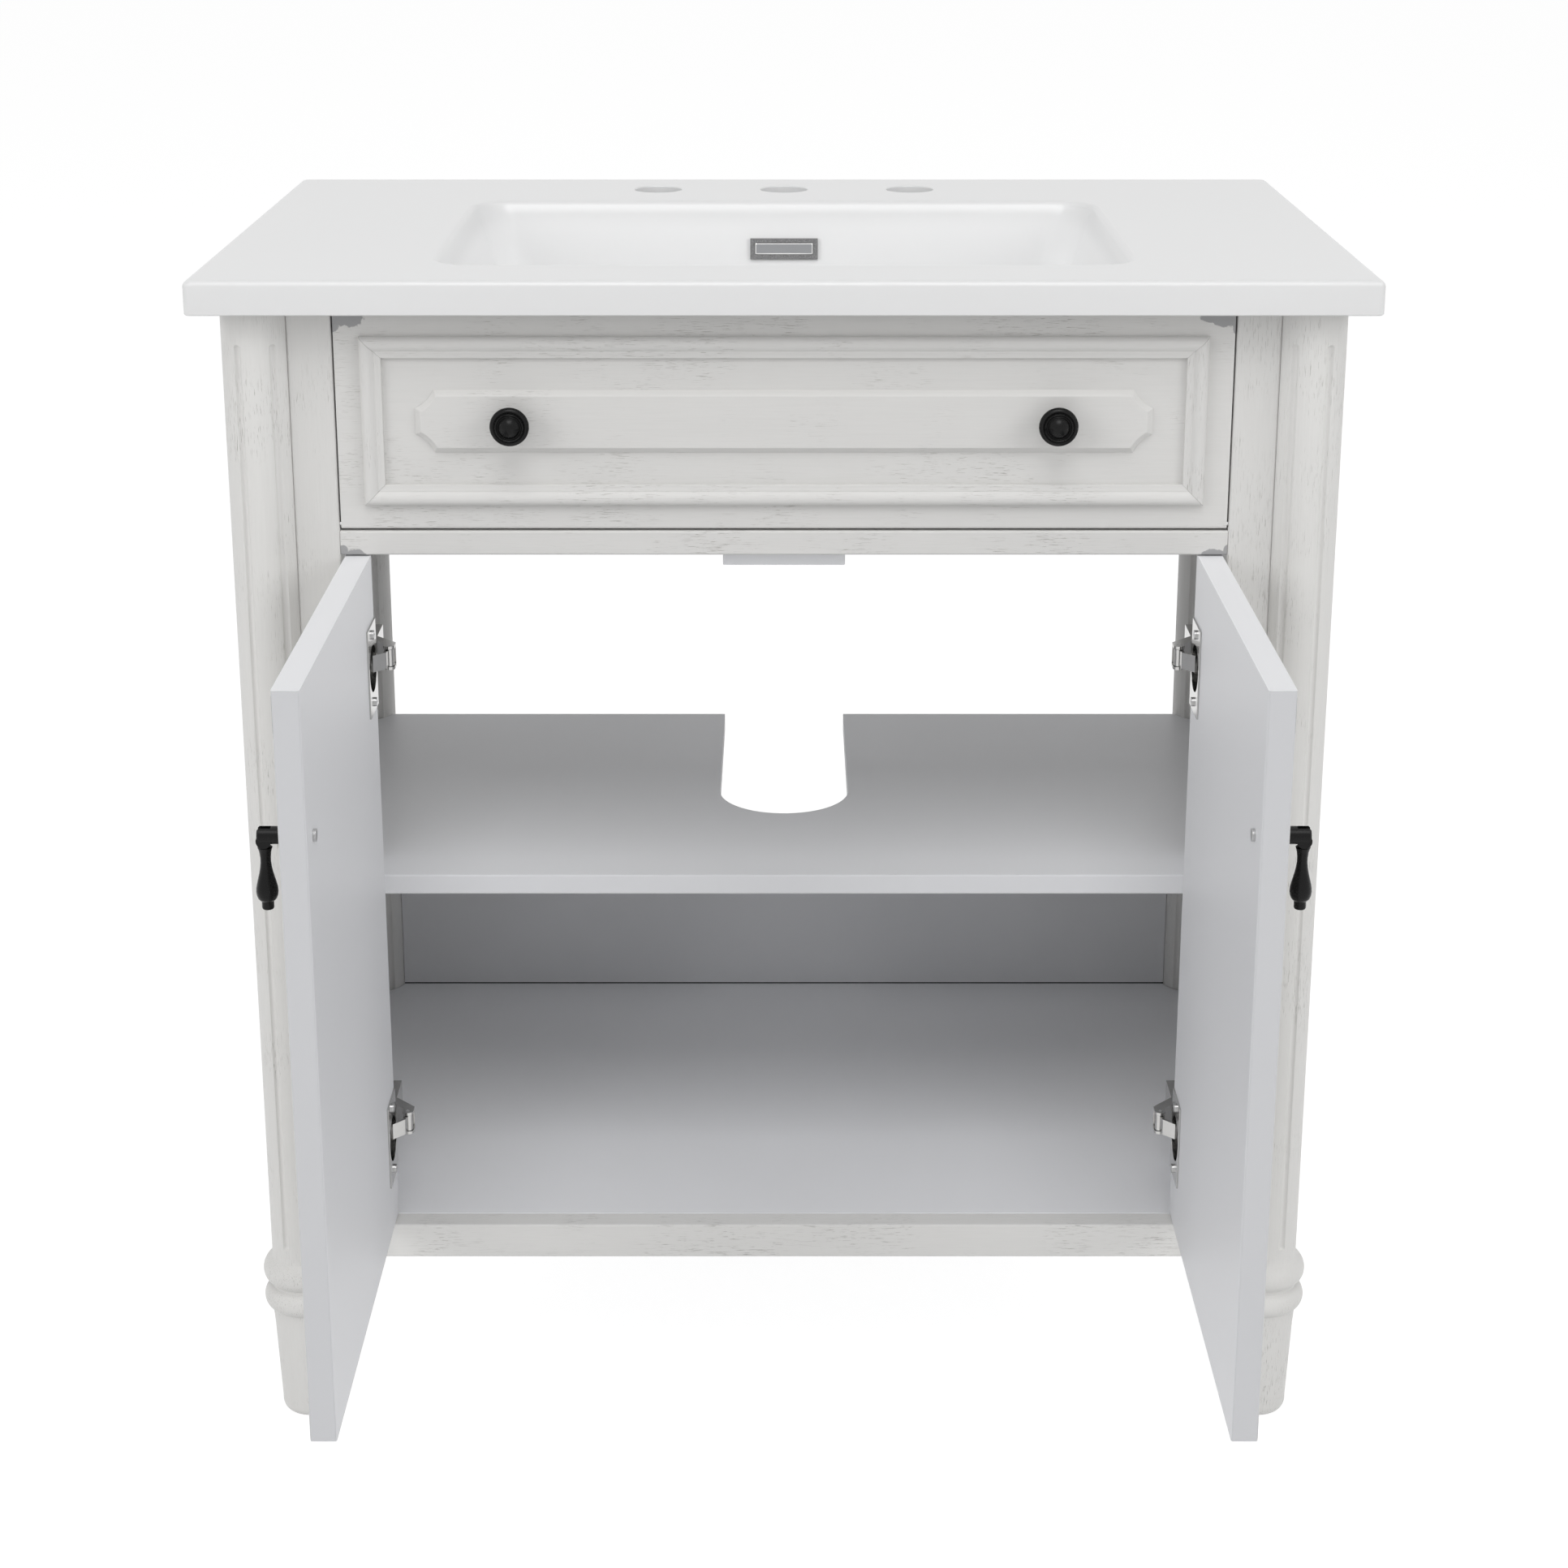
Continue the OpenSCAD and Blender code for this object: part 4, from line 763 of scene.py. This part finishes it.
def lathe(name, outline, around):
    """Spin an outline of (radius, height) points; a radius of 0 is a pole."""
    work = bmesh.new()
    rings = []
    for r, z in outline:
        if r < 1e-6:
            rings.append([work.verts.new((0, 0, z))])
        else:
            rings.append([work.verts.new((r * math.cos(a), r * math.sin(a), z)) for a in
                          (2 * math.pi * i / around for i in range(around))])
    for low, high in zip(rings, rings[1:]):
        for i in range(around):
            j = (i + 1) % around
            if len(low) == 1:
                work.faces.new((low[0], high[j], high[i]))
            elif len(high) == 1:
                work.faces.new((low[i], low[j], high[0]))
            else:
                work.faces.new((low[i], low[j], high[j], high[i]))
    return linked(name, work)


LEG_SIDES = 192
legs = lathe("turned_legs", profile, LEG_SIDES)
print("leg profile points:", len(profile), "faces:", len(legs.data.polygons))

# %% [markdown]
# Six flutes run up each column, with round ends, as a round cutter leaves them. A
# Boolean with six cutters would work, but it leaves thin slivers of faces. The cut
# follows a rule, so Geometry Nodes push each point of the column in to the surface
# of its nearest cutter. The tree then sets the leg at its four places, the left and
# right legs with their flutes turned to match.

# %% Geometry Nodes: flute the column and set the four legs
def geometry_tree(name, inputs):
    """A Geometry Nodes tree with named inputs, and its two ends."""
    tree = bpy.data.node_groups.new(name, "GeometryNodeTree")
    tree.interface.new_socket("Geometry", in_out="INPUT", socket_type="NodeSocketGeometry")
    for label, kind in inputs:
        tree.interface.new_socket(label, in_out="INPUT", socket_type=kind)
    tree.interface.new_socket("Geometry", in_out="OUTPUT", socket_type="NodeSocketGeometry")
    return tree, tree.nodes.new("NodeGroupInput"), tree.nodes.new("NodeGroupOutput")


def set_inputs(modifier, values):
    """Set a modifier's inputs by name; the modifier knows them by identifier."""
    for item in modifier.node_group.interface.items_tree:
        if item.item_type == "SOCKET" and item.in_out == "INPUT" and item.name in values:
            modifier[item.identifier] = values[item.name]


FLOATS = ["Flutes", "Flute radius", "Flute outside", "Column radius", "Flutes from",
          "Flutes to", "First flute", "Leg across", "Front leg", "Back leg"]
leg_tree, gin, gout = geometry_tree("Fluted legs", [(n, "NodeSocketFloat") for n in FLOATS]
                                    + [("Paint", "NodeSocketMaterial")])
G = gin.outputs


def op(operation, *values):
    """A math node of the leg tree."""
    return maths(leg_tree, operation, *values)


px, py, pz = axes(leg_tree, leg_tree.nodes.new("GeometryNodeInputPosition").outputs[0])
angle = op("ARCTAN2", py, px)
radius = op("SQRT", op("ADD", op("MULTIPLY", px, px), op("MULTIPLY", py, py)))
pitch = op("DIVIDE", 2 * math.pi, G["Flutes"])
centre = op("ADD", G["Column radius"], G["Flute outside"])
below = op("SUBTRACT", op("ADD", G["Flutes from"], G["Flute radius"]), pz)
above = op("SUBTRACT", pz, op("SUBTRACT", G["Flutes to"], G["Flute radius"]))
past = op("MAXIMUM", op("MAXIMUM", below, above), 0.0)


def fluted(turn):
    """The column cut by round flutes, the first of them turned by this angle.

    For each point: off is its angle from the nearest cutter, side its distance from
    the cutter's middle, room what is left of the cutter's radius there, squared, and
    cut the radius at which the cutter's surface stands.
    """
    off = op("WRAP", op("SUBTRACT", angle, turn), op("MULTIPLY", pitch, 0.5),
             op("MULTIPLY", pitch, -0.5))
    side = op("MULTIPLY", centre, op("SINE", off))
    room = op("SUBTRACT", op("MULTIPLY", G["Flute radius"], G["Flute radius"]),
              op("ADD", op("MULTIPLY", side, side), op("MULTIPLY", past, past)))
    cut = op("SUBTRACT", op("MULTIPLY", centre, op("COSINE", off)),
             op("SQRT", op("MAXIMUM", room, 0.0)))
    cut = op("MINIMUM", radius, cut)
    inside = op("MULTIPLY", op("GREATER_THAN", room, 0.0), op("GREATER_THAN", radius, 0.001))
    ratio = op("DIVIDE", cut, op("MAXIMUM", radius, 1e-6))
    scale = op("ADD", 1.0, op("MULTIPLY", inside, op("SUBTRACT", ratio, 1.0)))
    join = leg_tree.nodes.new("ShaderNodeCombineXYZ")
    leg_tree.links.new(op("MULTIPLY", px, scale), join.inputs[0])
    leg_tree.links.new(op("MULTIPLY", py, scale), join.inputs[1])
    leg_tree.links.new(pz, join.inputs[2])
    move = leg_tree.nodes.new("GeometryNodeSetPosition")
    leg_tree.links.new(G["Geometry"], move.inputs["Geometry"])
    leg_tree.links.new(join.outputs[0], move.inputs["Position"])
    return move.outputs[0]


gather = leg_tree.nodes.new("GeometryNodeJoinGeometry")
for sign in (-1, 1):
    shape = fluted(op("MULTIPLY", G["First flute"], float(sign)))
    for row in ("Back leg", "Front leg"):
        place = leg_tree.nodes.new("ShaderNodeCombineXYZ")
        leg_tree.links.new(op("MULTIPLY", G["Leg across"], float(sign)), place.inputs[0])
        leg_tree.links.new(G[row], place.inputs[1])
        to_instance = leg_tree.nodes.new("GeometryNodeGeometryToInstance")
        leg_tree.links.new(shape, to_instance.inputs[0])
        shift = leg_tree.nodes.new("GeometryNodeTranslateInstances")
        leg_tree.links.new(to_instance.outputs[0], shift.inputs["Instances"])
        leg_tree.links.new(place.outputs[0], shift.inputs["Translation"])
        leg_tree.links.new(shift.outputs[0], gather.inputs[0])
real = leg_tree.nodes.new("GeometryNodeRealizeInstances")
paint_node = leg_tree.nodes.new("GeometryNodeSetMaterial")
leg_tree.links.new(gather.outputs[0], real.inputs[0])
leg_tree.links.new(real.outputs[0], paint_node.inputs["Geometry"])
leg_tree.links.new(G["Paint"], paint_node.inputs["Material"])
leg_tree.links.new(paint_node.outputs[0], gout.inputs[0])
print("leg tree nodes:", len(leg_tree.nodes))

# %% [markdown]
# The tree runs as a modifier on the turned leg, with its sizes as named inputs. The
# result is made a plain mesh. All four legs stand on the cabinet, so they stay one
# piece.

# %% Make the legs
# The legs' paint is lighter: painted light for the shade they stand in.
leg_paint = worn_paint("worn paint, legs", "Z", 71.0, 0.7, colour=LEG_PAINT_WITH_PAINTED_LIGHT)
maker = legs.modifiers.new("flutes and places", "NODES")
maker.node_group = leg_tree
set_inputs(maker, {"Flutes": float(FLUTES), "Flute radius": FLUTE_R, "Flute outside": FLUTE_OUT,
                   "Column radius": LEG_R, "Flutes from": FLUTE_LOW, "Flutes to": FLUTE_HIGH,
                   "First flute": FIRST_FLUTE, "Leg across": abs(leg_centre.x),
                   "Front leg": leg_centre.y, "Back leg": back_leg_y, "Paint": leg_paint})
apply_modifiers(legs)
smooth(legs, 40, flat_lead=False)
finish_piece(legs, "cabinet", leg_paint, "painted_wood", "leg_front_left", "leg_front_right",
             "leg_back_left", "leg_back_right")
print("legs:", len(legs.data.polygons), "faces")

# %% [markdown]
# Two equal knobs sit on the tilting front. Each could be made on its own, but then
# a change to one has to be made to both. A small tree of Geometry Nodes sets copies
# of one shape in a row instead.

# %% Geometry Nodes: a row of copies
row_tree, gin, gout = geometry_tree("Row of copies", [
    ("Count", "NodeSocketInt"), ("First", "NodeSocketVector"), ("Step", "NodeSocketVector"),
    ("Finish", "NodeSocketMaterial")])
line = row_tree.nodes.new("GeometryNodeMeshLine")
row_tree.links.new(gin.outputs["Count"], line.inputs["Count"])
row_tree.links.new(gin.outputs["First"], line.inputs["Start Location"])
row_tree.links.new(gin.outputs["Step"], line.inputs["Offset"])
copies = row_tree.nodes.new("GeometryNodeInstanceOnPoints")
row_tree.links.new(line.outputs[0], copies.inputs["Points"])
row_tree.links.new(gin.outputs["Geometry"], copies.inputs["Instance"])
real = row_tree.nodes.new("GeometryNodeRealizeInstances")
finish_node = row_tree.nodes.new("GeometryNodeSetMaterial")
row_tree.links.new(copies.outputs[0], real.inputs[0])
row_tree.links.new(real.outputs[0], finish_node.inputs["Geometry"])
row_tree.links.new(gin.outputs["Finish"], finish_node.inputs["Material"])
row_tree.links.new(finish_node.outputs[0], gout.inputs[0])


def in_a_row(obj, count, first, step, finish):
    """Turn one shape into count copies, from first on, a step apart."""
    maker = obj.modifiers.new("row", "NODES")
    maker.node_group = row_tree
    set_inputs(maker, {"Count": count, "First": tuple(first), "Step": tuple(step),
                       "Finish": finish})
    apply_modifiers(obj)


print("row tree nodes:", len(row_tree.nodes))

# %% [markdown]
# A knob is turned, as the legs are: a flanged foot, a neck, and a head with a round
# rim, two grooves and a low dome. The lathe spins the outline of one. Its rows are
# the radius and the distance from the board, in mm.

# %% Turn the knobs
KNOB_SIDES = 72
knob_lo, knob_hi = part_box("tilt_knobs")
knob_outline = [(0.0, 0.0), (8.0, 0.0), (8.0, 1.6), (7.6, 2.0), (5.6, 2.3), (5.0, 3.0),
                (5.0, 9.6), (5.5, 10.6), (7.0, 11.0)] + arc(10.2, 14.0, 3.0, -90, 78, 14)
knob_outline += [(10.5, 16.75), (10.2, 16.4), (9.85, 16.4), (9.6, 16.8), (9.35, 17.8), (8.9, 18.1),
                 (8.4, 17.9), (8.1, 17.3), (7.8, 17.15), (7.45, 17.3), (7.1, 17.75)]
knob_outline += arc(0.0, 13.35, 8.25, 37, 90, 10)
knobs = lathe("dressed_tilt_knobs", [(r * MM, d * MM) for r, d in knob_outline],
              KNOB_SIDES)
knobs.data.transform(Matrix.Rotation(math.pi / 2, 4, "X"))
knob_half = (knob_hi.z - knob_lo.z) / 2
knob_step = knob_hi.x - knob_lo.x - 2 * knob_half
in_a_row(knobs, 2, (knob_lo.x + knob_half, knob_hi.y, knob_lo.z + knob_half), (knob_step, 0, 0),
         satin_black)
smooth(knobs, 50, flat_lead=False)
finish_piece(knobs, BODY_OF["tilt_knobs"], satin_black, SLOT_OF["tilt_knobs"], "tilt_knobs")
print("knobs:", len(knobs.data.polygons), "faces")

# %% [markdown]
# The top and its bowl are one casting, so they are one mesh. A slab with a bowl cut
# by a Boolean would have hard, uneven edges where clay has soft ones. So the mesh is
# lofted through rounded rectangles that all have the same number of points. These
# helpers give such a rectangle, and say how far the bowl's walls have come in at a
# height: they slope, then round into the floor.

# %% Helpers: outlines of the slab and the bowl
BOWL = {"half": 0.235, "front": 0.068, "back": 0.354, "depth": 0.127, "wall": 0.010,
        "floor_r": 0.028, "corner": 0.026, "lip": 0.006, "edge": 0.004}
SIDE, BACK = math.radians(19), math.radians(15)
CORNER_STEPS, SIDE_STEPS, SLAB_CORNER = 10, 7, 0.004


def rounded(hx, y0, y1, r, z):
    """Points of a rounded rectangle, counted from the top's front edge."""
    r = max(min(r, hx - 1e-4, (y1 - y0) / 2 - 1e-4), 1e-4)
    points = []
    corners = ((hx - r, y0 + r, -90, (hx, y1 - r)), (hx - r, y1 - r, 0, (-hx + r, y1)),
               (-hx + r, y1 - r, 90, (-hx, y0 + r)), (-hx + r, y0 + r, 180, (hx - r, y0)))
    for cx, cy, start, (nx, ny) in corners:
        for i in range(CORNER_STEPS + 1):
            a = math.radians(start + 90 * i / CORNER_STEPS)
            points.append((cx + r * math.cos(a), cy + r * math.sin(a)))
        x, y = points[-1]
        for i in range(1, SIDE_STEPS):
            points.append((x + (nx - x) * i / SIDE_STEPS, y + (ny - y) * i / SIDE_STEPS))
    return [(x, y + front_y, z) for x, y in points]


def inset(z, slope, grow=0.0):
    """How far a bowl wall has come in at height z."""
    r, k0 = BOWL["floor_r"], BOWL["depth"] - BOWL["floor_r"]
    k = (r + k0 * math.sin(slope)) / math.cos(slope)
    centre = top_z - k0
    r += grow
    if z > centre - r * math.sin(slope):
        return (top_z - z) * math.tan(slope) - grow / math.cos(slope)
    return k - math.sqrt(max(r * r - (centre - z) ** 2, 0))


def bowl_ring(z, grow=0.0):
    """The bowl's outline at height z, inside or grown by the wall."""
    side, back = inset(z, SIDE, grow), inset(z, BACK, grow)
    centre = top_z - BOWL["depth"] + BOWL["floor_r"]
    r = BOWL["corner"] + grow
    if z < centre:
        r = math.sqrt(max((BOWL["floor_r"] + grow) ** 2 - (centre - z) ** 2, 4e-6))
    return rounded(BOWL["half"] - side, BOWL["front"] + side, BOWL["back"] - back, r, z)


def slab_ring(inward, z):
    """The slab's outline, drawn in by a distance."""
    return rounded(top_hi.x - inward, inward, top_hi.y - front_y - inward, SLAB_CORNER, z)


print("points in an outline:", len(slab_ring(0.0, top_z)))

# %% [markdown]
# The outlines run up the slab's edge, across the top, over the soft lip, down the
# sloping walls, across the floor to the drain, and back under. The last one meets
# the first, so the skin is closed. The drain's circles take the angles of a rounded
# rectangle's points, so that each point has a partner in the outline before.

# %% Loft the ceramic top
DRAIN_R = 0.0225
under = leg_top
rings = [slab_ring(0.0, under + 0.0008)]
rings += [slab_ring(0.0, top_z - BOWL["edge"] - 0.006)]
rings += [slab_ring(BOWL["edge"] * (1 - math.cos(a)), top_z - BOWL["edge"] * (1 - math.sin(a)))
          for a in (math.radians(d) for d in range(0, 91, 15))]
rings += [slab_ring(0.010, top_z)]
lip = BOWL["lip"]
for a in (math.radians(d) for d in range(0, 76, 15)):
    away = lip * (1.02 - math.sin(a))
    rings.append(rounded(BOWL["half"] + away, BOWL["front"] - away, BOWL["back"] + away,
                         BOWL["corner"] + away, top_z - lip * (1 - math.cos(a))))
floor_z = top_z - BOWL["depth"]
for z in (top_z - 0.010, top_z - 0.035, top_z - 0.07, floor_z + 0.028, floor_z + 0.019,
          floor_z + 0.012, floor_z + 0.007, floor_z + 0.0035, floor_z + 0.0012, floor_z + 0.0002):
    rings.append(bowl_ring(z))
bowl_y = (BOWL["front"] + inset(floor_z, SIDE) + BOWL["back"] - inset(floor_z, BACK)) / 2


def drain_ring(r, z):
    """A circle round the drain, its points at a rounded rectangle's angles."""
    shape = rounded(0.17, -0.085, 0.085, 0.05, z)
    return [(r * math.cos(a), bowl_y + front_y + r * math.sin(a), z) for a in
            (math.atan2(y - front_y, x) for x, y, _ in shape)]


rings += [drain_ring(DRAIN_R + 0.030, floor_z), drain_ring(DRAIN_R + 0.004, floor_z),
          drain_ring(DRAIN_R + 0.001, floor_z - 0.0010), drain_ring(DRAIN_R, floor_z - 0.0035),
          drain_ring(DRAIN_R, floor_z - BOWL["wall"] + 0.0005),
          drain_ring(DRAIN_R + 0.010, floor_z - BOWL["wall"])]
for z in (0.0002, 0.003, 0.008, 0.016, 0.028, 0.05, 0.08):
    rings.append(bowl_ring(floor_z - BOWL["wall"] + z, BOWL["wall"]))
rings += [bowl_ring(under, BOWL["wall"]), slab_ring(0.0008, under)]


def loft(name, loops):
    """A ring-shaped skin: the last loop joins the first."""
    work = bmesh.new()
    made = [[work.verts.new(p) for p in loop] for loop in loops]
    skin(work, made + made[:1])
    return closed_object(name, work)


top = loft("ceramic_top_and_bowl", rings)
print("top:", len(rings), "rings of", len(rings[0]), "points")

# %% [markdown]
# Three tap holes go through the deck behind the bowl. A loft has one opening only,
# so the holes are drilled by a Boolean, and a narrow bevel gives them the rounded
# edge that glaze leaves. Each drill is turned half a step, so that none of its
# edges runs along a line of the slab.

# %% Drill the tap holes
TAP_R, TAP_Y, TAP_STEP, BIT_SIDES = 0.0185, 0.424, 0.1, 64
drill_bits = []
for x in (-TAP_STEP, 0.0, TAP_STEP):
    bit = lathe("drill", [(0.0, under - 0.01), (TAP_R, under - 0.01), (TAP_R, top_z + 0.01),
                          (0.0, top_z + 0.01)], BIT_SIDES)
    half_step = Matrix.Rotation(math.pi / BIT_SIDES, 4, "Z")
    bit.data.transform(Matrix.Translation((x, front_y + TAP_Y, 0)) @ half_step)
    drill_bits.append(bit)
    hole = top.modifiers.new("tap hole", "BOOLEAN")
    hole.operation = "DIFFERENCE"
    hole.solver = "EXACT"
    hole.object = bit
bevel = top.modifiers.new("glaze on the hole edges", "BEVEL")
bevel.width = 1.0 * MM
bevel.segments = 2
bevel.limit_method = "ANGLE"
bevel.angle_limit = math.radians(60)
apply_modifiers(top)
for bit in drill_bits:
    bpy.data.objects.remove(bit)
smooth(top, 50)
finish_piece(top, "cabinet", ceramic, "ceramic", "sink_top")
print("top faces:", len(top.data.polygons))

# %% [markdown]
# The overflow cover sits on the bowl's back wall and leans with it. Its frame is
# dull cast metal. The plate inside is pressed: a brushed face with a bright slope
# round it. A bump could draw the slope, but it would vanish from the side, so the
# plate is skinned over three rounded rectangles. A row of PLATE holds half the
# width, half the height, the corner and the lift from the wall, in mm.

# %% The overflow cover
def cast_frame(name):
    """Dull grey metal with the speckle of a casting."""
    material, tree, shader, place = principled(name, rough=0.5)
    speck = noise(tree, place, 1400.0, 2.0, 0.6)
    tree.links.new(mix_colour(tree, ramp(tree, speck, 0.35, 0.65), (0.13, 0.13, 0.132, 1),
                              (0.24, 0.24, 0.242, 1)), shader.inputs["Base Color"])
    bump(tree, shader, speck, 0.3, 0.0002)
    return material


eased("overflow_cover", cast_frame("cast frame"), 0.2 * MM)
COVER_DOWN = 0.035
PLATE = [(22.4, 4.4, 1.0, 1.46), (22.4, 4.4, 1.0, 1.9), (21.5, 3.5, 0.7, 2.4)]
cover_at = Vector((0, front_y + BOWL["back"] - COVER_DOWN * math.tan(BACK), top_z - COVER_DOWN))
wall_up = Vector((0, math.sin(BACK), math.cos(BACK)))
wall_out = Vector((0, -math.cos(BACK), math.sin(BACK)))
work = bmesh.new()
rings = []
for half_w, half_h, r, lift in PLATE:
    shape = rounded(half_w, -half_h, half_h, r, 0.0)
    rings.append([work.verts.new(cover_at + Vector((x * MM, 0, 0)) + wall_up * (y - front_y) * MM
                                 + wall_out * lift * MM) for x, y, _ in shape])
work.faces.new(rings[0])
face = work.faces.new(rings[-1])
face.material_index = 1
skin(work, rings)
plate = closed_object("pressed_cover_plate", work)
smooth(plate, 25)
finish_piece(plate, "cabinet", (bright_rim, brushed_plate), SLOT_OF["overflow_cover"])
print("cover plate:", len(plate.data.polygons), "faces")

# %% [markdown]
# A plain white floor catches a soft shadow. A floor lit until it is white would
# also bleach the object. So the backdrop is white only to the rays that show it: to
# camera, glossy and transmission rays the floor glows, with a little of its shadow
# kept, and to all others it is a plain pale floor.

# %% Floor
FLOOR_HALF, FLOOR_Z = 30, -0.0005


def seen_rays(tree):
    """1 for the rays that show a surface as it is seen, 0 for those that carry light."""
    rays = add(tree, "ShaderNodeLightPath").outputs
    seen = maths(tree, "MAXIMUM", rays["Is Camera Ray"], rays["Is Glossy Ray"])
    return maths(tree, "MAXIMUM", seen, rays["Is Transmission Ray"])


floor_mesh = bpy.data.meshes.new("floor")
floor_mesh.from_pydata([(x * FLOOR_HALF, y * FLOOR_HALF, FLOOR_Z)
                        for x, y in ((-1, -1), (1, -1), (1, 1), (-1, 1))], [], [(0, 1, 2, 3)])
floor = bpy.data.objects.new("floor", floor_mesh)
scene.collection.objects.link(floor)
floor_material, tree, shader = principled("white floor", (0.86, 0.86, 0.86, 1), 0.9)[:3]
shader.inputs["Specular IOR Level"].default_value = 0.0
glow = add(tree, "ShaderNodeEmission")
glow.inputs["Strength"].default_value = 0.90
faint = add(tree, "ShaderNodeBsdfDiffuse")
faint.inputs["Color"].default_value = (0.25, 0.25, 0.25, 1)
both = add(tree, "ShaderNodeAddShader")
pick = add(tree, "ShaderNodeMixShader")
out = tree.nodes["Material Output"]
tree.links.new(faint.outputs[0], both.inputs[0])
tree.links.new(glow.outputs[0], both.inputs[1])
tree.links.new(seen_rays(tree), pick.inputs[0])
tree.links.new(shader.outputs[0], pick.inputs[1])
tree.links.new(both.outputs[0], pick.inputs[2])
tree.links.new(pick.outputs[0], out.inputs["Surface"])
floor.data.materials.append(floor_material)
print("floor ready")

# %% [markdown]
# The light is a pale studio sky, a broad lamp high in front, one at each side and a
# weak one overhead. The top is then the brightest face, and the inside of the
# cabinet falls away towards the back. A sky alone would flatten the mouldings. The
# side lamps are left out of reflections, which would streak the bowl's corners.

# %% Sky and lamps
world = bpy.data.worlds.new("studio sky")
scene.world = world
world.use_nodes = True
wt = world.node_tree
background = wt.nodes["Background"]
background.inputs["Color"].default_value = (1, 1, 1, 1)
SKY = 0.325
strength = add(wt, "ShaderNodeMapRange")
strength.inputs["To Min"].default_value = SKY
strength.inputs["To Max"].default_value = 1.0
wt.links.new(seen_rays(wt), strength.inputs["Value"])
wt.links.new(strength.outputs["Result"], background.inputs["Strength"])


def soft_lamp(name, at, aim, size, power):
    """A broad lamp at a place, aimed at a point, with its power in watts."""
    data = bpy.data.lights.new(name, "AREA")
    data.shape = "RECTANGLE"
    data.size, data.size_y = size
    data.energy = power
    lamp = bpy.data.objects.new(name, data)
    scene.collection.objects.link(lamp)
    lamp.location = at
    lamp.rotation_euler = (Vector(aim) - Vector(at)).to_track_quat("-Z", "Y").to_euler()
    return lamp


soft_lamp("high front light", (0.0, -3.4, 5.9), (0, 0, 0.45), (3.4, 3.2), 122)
for side in (-1, 1):
    lamp = soft_lamp("side light", (side * 4.2, -2.8, 2.6), (0, 0, 0.4), (2.8, 2.8), 84)
    lamp.visible_glossy = False
soft_lamp("top light", (0.0, 0.2, 3.0), (0, 0.1, 0.8), (2.4, 2.4), 5)
print("lamps ready")

# %% [markdown]
# The camera stands in front, above the top, a little under two metres away, and
# looks down, with a small downward shift of the lens. A shift keeps uprights
# parallel, but every other view shares it, so it is kept small. The focal length
# was measured in pixels of a picture 1932 pixels wide.

# %% Camera
SENSOR, FOCAL_PIXELS, PICTURE_PIXELS = 36.0, 3479.0, 1932.0
BEFORE_TOP, CAMERA_HEIGHT, LOOK_DOWN, SHIFT = 1.825, 1.176, 16.27, -0.12
camera_data = bpy.data.cameras.new("camera")
camera = bpy.data.objects.new("camera", camera_data)
scene.collection.objects.link(camera)
scene.camera = camera
camera_data.sensor_width = SENSOR
camera_data.sensor_fit = "HORIZONTAL"
camera_data.lens = SENSOR * FOCAL_PIXELS / PICTURE_PIXELS
camera_data.shift_y = SHIFT
camera_data.clip_start, camera_data.clip_end = 0.05, 200
camera.location = (0.0, front_y - BEFORE_TOP, CAMERA_HEIGHT)
camera.rotation_euler = (math.radians(90 - LOOK_DOWN), 0, 0)
scene.view_settings.view_transform = "Standard"
print("camera at", tuple(camera.location))
